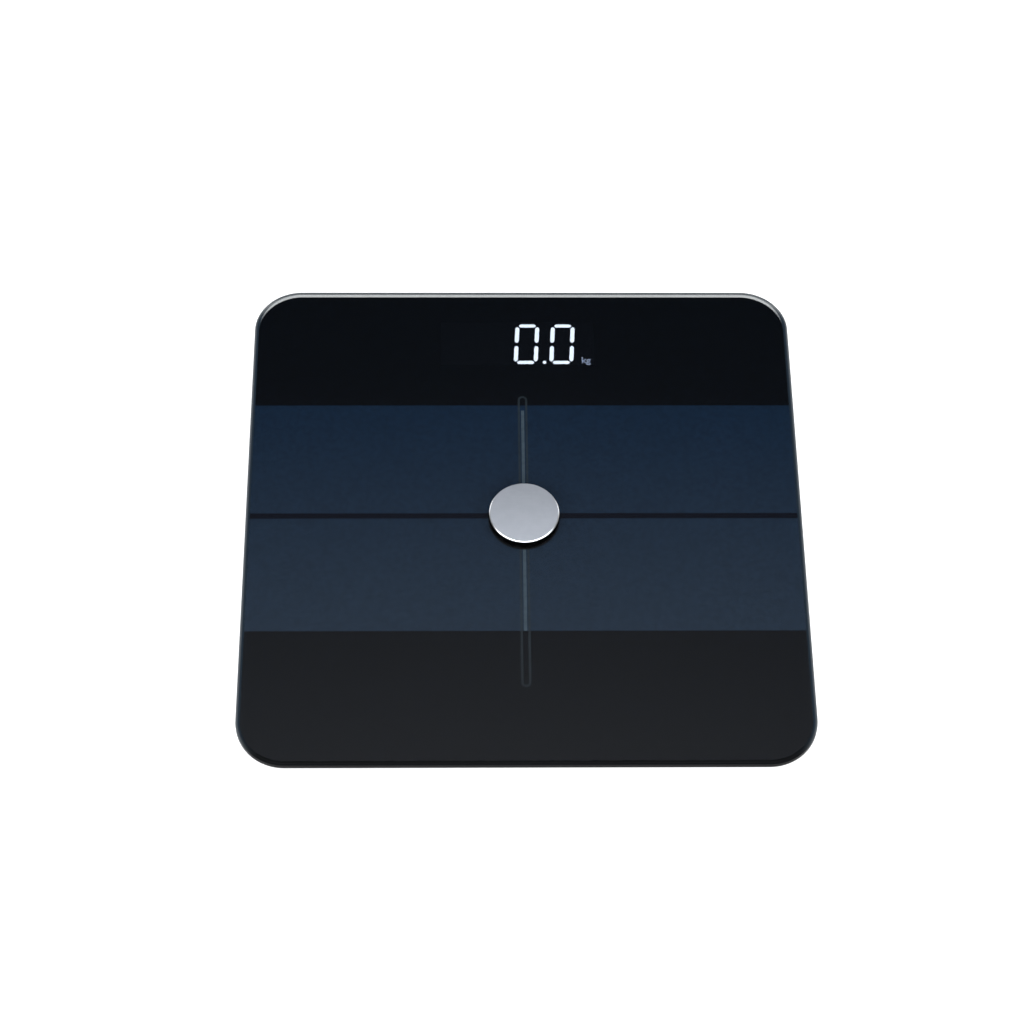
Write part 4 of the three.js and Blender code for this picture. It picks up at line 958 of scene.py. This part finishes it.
def row_tree():
    """A straight row of equal blocks."""
    grow = Growth(
        "row_of_blocks", Count="Int", Start="Vector", Step="Vector", Size="Vector", Finish="Material"
    )
    given = grow.given
    line = grow.add(
        "GeometryNodeMeshLine", Count=given["Count"], Start_Location=given["Start"], Offset=given["Step"]
    )
    line.mode = "OFFSET"
    block = grow.add("GeometryNodeMeshCube", Size=given["Size"])
    spread = grow.add(
        "GeometryNodeInstanceOnPoints", Points=line.outputs["Mesh"], Instance=block.outputs["Mesh"]
    )
    return grow.end(spread.outputs["Instances"], given["Finish"])


mask = Finish("green_solder_mask", Specular_IOR_Level=0.5)
on_track = mask.step(mask.cells(0.34, feature="DISTANCE_TO_EDGE"), 0.03, 0.06, 1.0, 0.0)
laminate = mask.mottled(mask.noise(9, 3), (0.008, 0.060, 0.024), (0.012, 0.078, 0.032))
mask.colour(mask.blend(on_track, laminate, (0.028, 0.135, 0.058)))
mask.worn(mask.noise(3, 3), 0.22, 0.4)
mask.relief(on_track, 0.035 * MM, 0.8)
copied_piece("laminate_board", "main_board", "platform", mask, 0.08 * MM)

resin = Finish("black_chip_resin", Specular_IOR_Level=0.4)
resin.colour(resin.mottled(resin.noise(0.7, 4), (0.018, 0.018, 0.019), (0.027, 0.027, 0.028)))
resin.worn(resin.noise(0.3, 2), 0.5, 0.72)
resin.relief(resin.noise(0.2, 2), 0.012 * MM, 0.6)
copied_piece("controller_chip", "microcontroller", "platform", resin, 0.12 * MM)
tin = Finish("tinned_steel", Metallic=1.0)
spangle = tin.step(tin.cells(2.5), 0.1, 0.7)
tin.colour(tin.blend(spangle, (0.62, 0.62, 0.60), (0.72, 0.72, 0.71)))
tin.worn(tin.noise(1.3, 4), 0.2, 0.42)
tin.relief(tin.noise(5, 2), 0.03 * MM, 0.4)
copied_piece("radio_can", "radio_module", "platform", tin, 0.12 * MM)

board_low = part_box("main_board")[0]
chip_low, chip_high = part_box("microcontroller")
rows = row_tree()
leg_level = board_low.z - LEG["size"][2] / 2 - SOLDER_GAP
leg_rows = []
for axis in (0, 1):
    for edge_at in (chip_low, chip_high):
        along = 1 - axis
        count = int((chip_high[along] - chip_low[along] - 2 * LEG["margin"]) / LEG["pitch"]) + 1
        start = [0.0, 0.0, leg_level]
        outwards = 1 if edge_at is chip_high else -1
        start[axis] = edge_at[axis] + outwards * (LEG["size"][0] / 2 - 0.1 * MM)
        start[along] = (chip_low[along] + chip_high[along] - (count - 1) * LEG["pitch"]) / 2
        step = [0.0, 0.0, 0.0]
        step[along] = LEG["pitch"]
        size = list(LEG["size"])
        if axis == 1:
            size[0], size[1] = size[1], size[0]
        legs = {"Count": count, "Start": tuple(start), "Step": tuple(step), "Size": tuple(size)}
        leg_rows.append(grown_mesh(f"legs_{axis}_{outwards + 1}", rows, Finish=tin.material, **legs))
shown_piece("chip_legs", joined("chip_legs", *leg_rows), "platform", tin, [], 30)
resistor_rows = []
length, width, thickness = RESISTOR["size"]
start_x = (chip_low.x + chip_high.x - (RESISTOR["count"] - 1) * RESISTOR["pitch"]) / 2
for number, row_y in enumerate((chip_low.y - RESISTOR["aside"], chip_high.y + RESISTOR["aside"])):
    resistor_rows.append(
        grown_mesh(
            f"resistors_{number}",
            rows,
            Count=RESISTOR["count"],
            Start=(start_x, row_y, board_low.z - thickness / 2 - SOLDER_GAP),
            Step=(RESISTOR["pitch"], 0.0, 0.0),
            Size=(width, length, thickness),
            Finish=resin.material,
        )
    )
resistors = joined("board_resistors", *resistor_rows)
shown_piece("board_resistors", resistors, "platform", resin, [], 30)

zinc = Finish("zinc_plated_steel", Metallic=1.0)
zinc.colour(zinc.mottled(zinc.noise(1.4, 4), (0.50, 0.51, 0.52), (0.64, 0.65, 0.67)))
zinc.worn(zinc.noise(0.5, 3), 0.24, 0.42)
for corner in CORNERS:
    node = f"board_screw_{corner}"
    copied_piece(f"pan_screw_{corner}", node, "platform", zinc, 0.05 * MM)


# ---------------------------------------------------------------- read-out body
# The block of light wells is moulded in white, so that light stays in each bar, and its face is
# printed black round them.

block = Finish("printed_light_block", Specular_IOR_Level=0.35)
wall = block.mottled(block.noise(5, 3), (0.46, 0.46, 0.45), (0.54, 0.54, 0.53))
black_face = block.mottled(block.noise(2, 3), (0.004, 0.004, 0.005), (0.007, 0.007, 0.008))
dark_well = block.step(block.z, display_high.z / MM - 1.1, display_high.z / MM - 1.0)
block.colour(block.blend(dark_well, wall, black_face))
block.worn(block.noise(0.4, 2), 0.5, 0.7)
block.relief(block.noise(0.3, 2), 0.015 * MM, 0.6)
copied_piece("light_block", "display_module", "platform", block)


# ---------------------------------------------------------------- unit button and switch
# A domed grey-black button rises through the floor of the tray under a tactile switch, whose
# plunger it lifts. The switch is soldered to the board.

button_plastic = moulded(
    "soft_grey_button", (0.040, 0.041, 0.043), (0.052, 0.053, 0.056), 0.3, (0.45, 0.6), Specular_IOR_Level=0.4
)
copied_piece("domed_button", "unit_button", "unit_button", button_plastic, 0.25 * MM, 40, 3)
copied_piece("switch_pin", "switch_plunger", "unit_button", button_plastic, 0.08 * MM, 40)
copied_piece("switch_case", "switch_body", "platform", resin, 0.1 * MM)


# ---------------------------------------------------------------- cells
# Three AAA cells, steel cans in a printed shrink sleeve that stops short of both ends. They lie side
# by side in turn, so the ends that the bridges join face the same way.

CELL = {
    "sleeve_end": 0.9 * MM,
    "sleeve": 0.09 * MM,
    "crimp": 2.4 * MM,
    "nub_radius": 1.9 * MM,
    "nub": 1.0 * MM,
}
sleeve = Finish("printed_cell_sleeve", Roughness=0.3, Specular_IOR_Level=0.5)
crease = sleeve.noise(2.4, 4, (6, 1, 1))
print_dark = sleeve.mottled(crease, (0.012, 0.060, 0.105), (0.018, 0.080, 0.135))
print_band = sleeve.mottled(crease, (0.44, 0.45, 0.46), (0.54, 0.55, 0.56))
band_from = sleeve.sum("ABSOLUTE", sleeve.x)
sleeve.colour(sleeve.blend(sleeve.step(band_from, 11.4, 11.6), print_dark, print_band))
sleeve.roughness(sleeve.step(crease, 0.3, 0.7, 0.22, 0.36))
sleeve.relief(crease, 0.02 * MM, 0.5)


def cell_mesh(name, low, high, flipped):
    """A cell turned about its own length, its raised contact at the far end in X, or at the near one."""
    radius = (high.y - low.y) / 2
    length = high.x - low.x
    can = length - CELL["nub"]
    inset = CELL["sleeve"]
    profile = [
        (0.2 * MM, 0.0),
        (radius - CELL["crimp"], 0.0),
        (radius - CELL["crimp"] + 0.4 * MM, 0.18 * MM),
        (radius - 1.0 * MM, 0.18 * MM),
        (radius - 0.7 * MM, 0.02 * MM),
        (radius - inset - 0.2 * MM, 0.1 * MM),
        (radius - inset, 0.35 * MM),
        (radius - inset, CELL["sleeve_end"]),
        (radius, CELL["sleeve_end"] + 0.1 * MM),
        (radius, can - CELL["sleeve_end"]),
        (radius - inset, can - CELL["sleeve_end"] + 0.1 * MM),
        (radius - inset, can - 0.5 * MM),
        (radius - inset - 0.35 * MM, can - 0.1 * MM),
        (radius - CELL["crimp"] + 0.5 * MM, can - 0.1 * MM),
        (CELL["nub_radius"] + 0.35 * MM, can),
        (CELL["nub_radius"], can + 0.2 * MM),
        (CELL["nub_radius"], length - 0.25 * MM),
        (CELL["nub_radius"] - 0.25 * MM, length),
        (0.2 * MM, length),
    ]
    mesh = turned_mesh(name, profile, (0, 0), 48)
    lean = -math.pi / 2 if flipped else math.pi / 2
    end = high.x if flipped else low.x
    middle = ((low.y + high.y) / 2, (low.z + high.z) / 2)
    mesh.transform(Matrix.Translation((end, middle[0], middle[1])) @ Matrix.Rotation(lean, 4, "Y"))
    return mesh


for number in (1, 2, 3):
    low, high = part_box(f"battery_{number}")
    points = [v.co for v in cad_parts[f"battery_{number}"].data.vertices]
    wide = (high.y - low.y) / 2 * 0.8
    far_wide = max(p.x for p in points if abs(p.y - (low.y + high.y) / 2) > wide)
    flipped = far_wide > high.x - 0.5 * MM
    shown_piece(
        f"sleeved_cell_{number}",
        cell_mesh(f"sleeved_cell_{number}", low, high, flipped),
        "platform",
        sleeve,
        [f"battery_{number}"],
        40,
    )


# ---------------------------------------------------------------- contacts
# Nickel-plated spring steel: plates slid into slots at the ends of the battery bay, with springs for
# the flat ends of the cells, and four blades that press on the conductive zones of the glass.

nickel = Finish("bright_nickel", Metallic=1.0)
drawn = nickel.noise(0.6, 4, (1, 1, 7))
nickel.colour(nickel.mottled(drawn, (0.55, 0.53, 0.49), (0.68, 0.66, 0.61)))
nickel.roughness(nickel.step(drawn, 0.25, 0.75, 0.14, 0.32))
nickel.relief(drawn, 0.008 * MM, 0.5)
contacts = ["contact_negative", "contact_positive", "contact_bridge_left", "contact_bridge_right"]
contacts += [f"electrode_contact_{corner}" for corner in CORNERS]
for node in contacts:
    copied_piece(f"nickel_{node}", node, "platform", nickel, 0.05 * MM, 40)


# ---------------------------------------------------------------- battery door
# A moulded lid with two tabs on one side and a folded latch on the other, and grip ridges by the
# latch.

copied_piece("moulded_door", "battery_door", "battery_door", tray_plastic, 0.15 * MM)


# ---------------------------------------------------------------- leads
# Stranded wires in soft vinyl, soldered to the board: grey flat-lying cables from the load cells,
# black leads from the glass contacts and a black and red pair from the battery bay.


def vinyl(name, dark, light):
    """Extruded vinyl, slightly waxy, with a faint grain along it."""
    skin = Finish(name, Specular_IOR_Level=0.4)
    waxy = skin.noise(3.5, 3)
    skin.colour(skin.mottled(waxy, dark, light))
    skin.worn(skin.noise(0.8, 3), 0.36, 0.55)
    skin.relief(skin.noise(0.5, 2), 0.01 * MM, 0.5)
    return skin


grey_vinyl = vinyl("grey_vinyl", (0.19, 0.19, 0.20), (0.26, 0.26, 0.27))
black_vinyl = vinyl("black_vinyl", (0.012, 0.012, 0.013), (0.020, 0.020, 0.021))
red_vinyl = vinyl("red_vinyl", (0.34, 0.012, 0.010), (0.44, 0.020, 0.016))
leads = [(f"load_cell_cable_{corner}", "grey_lead", grey_vinyl) for corner in CORNERS]
leads += [(f"electrode_lead_{corner}", "black_lead", black_vinyl) for corner in CORNERS]
leads += [
    ("battery_lead_negative", "black_lead", black_vinyl),
    ("battery_lead_positive", "red_lead", red_vinyl),
]
for node, slot, skin in leads:
    copied_piece(f"vinyl_{node}", node, "platform", skin, smooth=60)


# ---------------------------------------------------------------- floor, light and camera
# A pale matt table under a wide soft studio sky: bright overhead and low down, dark in between, so
# that the glass mirrors the dark part and keeps its colours.

FLOOR_SIZE = 6.0
TABLE_STRENGTH = 0.75
SKY_STRENGTH = 5.0
floor_mesh = bpy.data.meshes.new("table")
half = FLOOR_SIZE / 2
floor_mesh.from_pydata(
    [(-half, -half, 0), (half, -half, 0), (half, half, 0), (-half, half, 0)], [], [(0, 1, 2, 3)]
)
table = bpy.data.objects.new("table", floor_mesh)
bpy.context.scene.collection.objects.link(table)
table_top = Finish("pale_table", Specular_IOR_Level=0.0, Emission_Strength=TABLE_STRENGTH)
table_top.colour(
    table_top.mottled(table_top.noise(60, 3), (0.60, 0.60, 0.60), (0.63, 0.63, 0.63))
)
table_top.worn(table_top.noise(8, 3), 0.85, 1.0)
table_top.shader.inputs["Emission Color"].default_value = (1.0, 1.0, 1.0, 1.0)
floor_mesh.materials.append(table_top.material)

world = bpy.data.worlds.new("studio")
bpy.context.scene.world = world
world.use_nodes = True
sky = world.node_tree
sky.nodes.clear()


def sky_node(kind, first=None, **settings):
    """A node of the sky, with another node's output joined to its first input."""
    node = sky.nodes.new("ShaderNode" + kind)
    for word, value in settings.items():
        setattr(node, word, value)
    if first is not None:
        sky.links.new(first, node.inputs[0])
    return node


direction = sky_node("TexCoord").outputs["Generated"]
height = sky_node("SeparateXYZ", direction)
angle = sky_node("Math", height.outputs["Z"], operation="ARCSINE")
share = sky_node("Math", angle.outputs[0], operation="DIVIDE")
share.inputs[1].default_value = math.pi / 2
SKY_LOW = ((0, 0.30), (4, 0.28), (9, 0.07))
SKY_HIGH = ((68, 0.36), (74, 1.15), (79, 1.15), (82, 0.2), (84, 0.04), (90, 0.04))
SKY_DARK = ((28, 0.06), (38, 0.04), (51, 0.008), (55, 0.013), (57.5, 0.030), (60, 0.050), (63, 0.080))
SKY_AHEAD = (*SKY_LOW, *SKY_DARK, *SKY_HIGH)
SKY_BEHIND = (*SKY_LOW, (20, 0.09), (28, 0.5), (40, 0.58), (50, 0.10), (62, 0.06), *SKY_HIGH)


def sky_bands(stops):
    """Brightness by height above the horizon."""
    ramp = sky_node("ValToRGB", share.outputs[0])
    while len(ramp.color_ramp.elements) > 1:
        ramp.color_ramp.elements.remove(ramp.color_ramp.elements[-1])
    for number, (elevation, level) in enumerate(stops):
        if number == 0:
            stop = ramp.color_ramp.elements[0]
            stop.position = 0.0
        else:
            stop = ramp.color_ramp.elements.new(elevation / 90)
        stop.color = (level * 0.965, level * 0.985, level, 1.0)
    return ramp.outputs[0]


way = sky_node("MapRange", height.outputs["Y"], interpolation_type="SMOOTHSTEP")
way.inputs["From Min"].default_value = -0.35
way.inputs["From Max"].default_value = 0.15
both = sky_node("Mix", way.outputs["Result"], data_type="RGBA")
sky.links.new(sky_bands(SKY_BEHIND), both.inputs[6])
sky.links.new(sky_bands(SKY_AHEAD), both.inputs[7])
glow_node = sky_node("Background", both.outputs[2])
glow_node.inputs["Strength"].default_value = SKY_STRENGTH
sky.links.new(glow_node.outputs[0], sky_node("OutputWorld").inputs["Surface"])

LENS = 95.73
SENSOR = 36.0
CAMERA_AZIMUTH = math.radians(-2.209)
CAMERA_ELEVATION = math.radians(57.815)
CAMERA_DISTANCE = 1.4678
CAMERA_ROLL = math.radians(1.813)
AIM_SHIFT = (-0.01195, 0.00288)
camera_data = bpy.data.cameras.new("camera")
camera_data.lens = LENS
camera_data.sensor_width = SENSOR
camera_data.clip_start = 0.01
camera = bpy.data.objects.new("camera", camera_data)
bpy.context.scene.collection.objects.link(camera)
target = Vector((0, 0, glass_high.z))
away = Vector(
    (
        math.sin(CAMERA_AZIMUTH) * math.cos(CAMERA_ELEVATION),
        -math.cos(CAMERA_AZIMUTH) * math.cos(CAMERA_ELEVATION),
        math.sin(CAMERA_ELEVATION),
    )
)
camera.location = target + CAMERA_DISTANCE * away
look = (-away).to_track_quat("-Z", "Y").to_matrix()
aim = Matrix.Rotation(math.atan(AIM_SHIFT[0] * SENSOR / LENS) * -1, 3, "Y") @ Matrix.Rotation(
    math.atan(AIM_SHIFT[1] * SENSOR / LENS), 3, "X"
)
roll = Matrix.Rotation(CAMERA_ROLL, 3, "Z")
camera.rotation_euler = (look @ aim @ roll).to_euler()
bpy.context.scene.camera = camera
bpy.context.scene.view_settings.view_transform = "Standard"
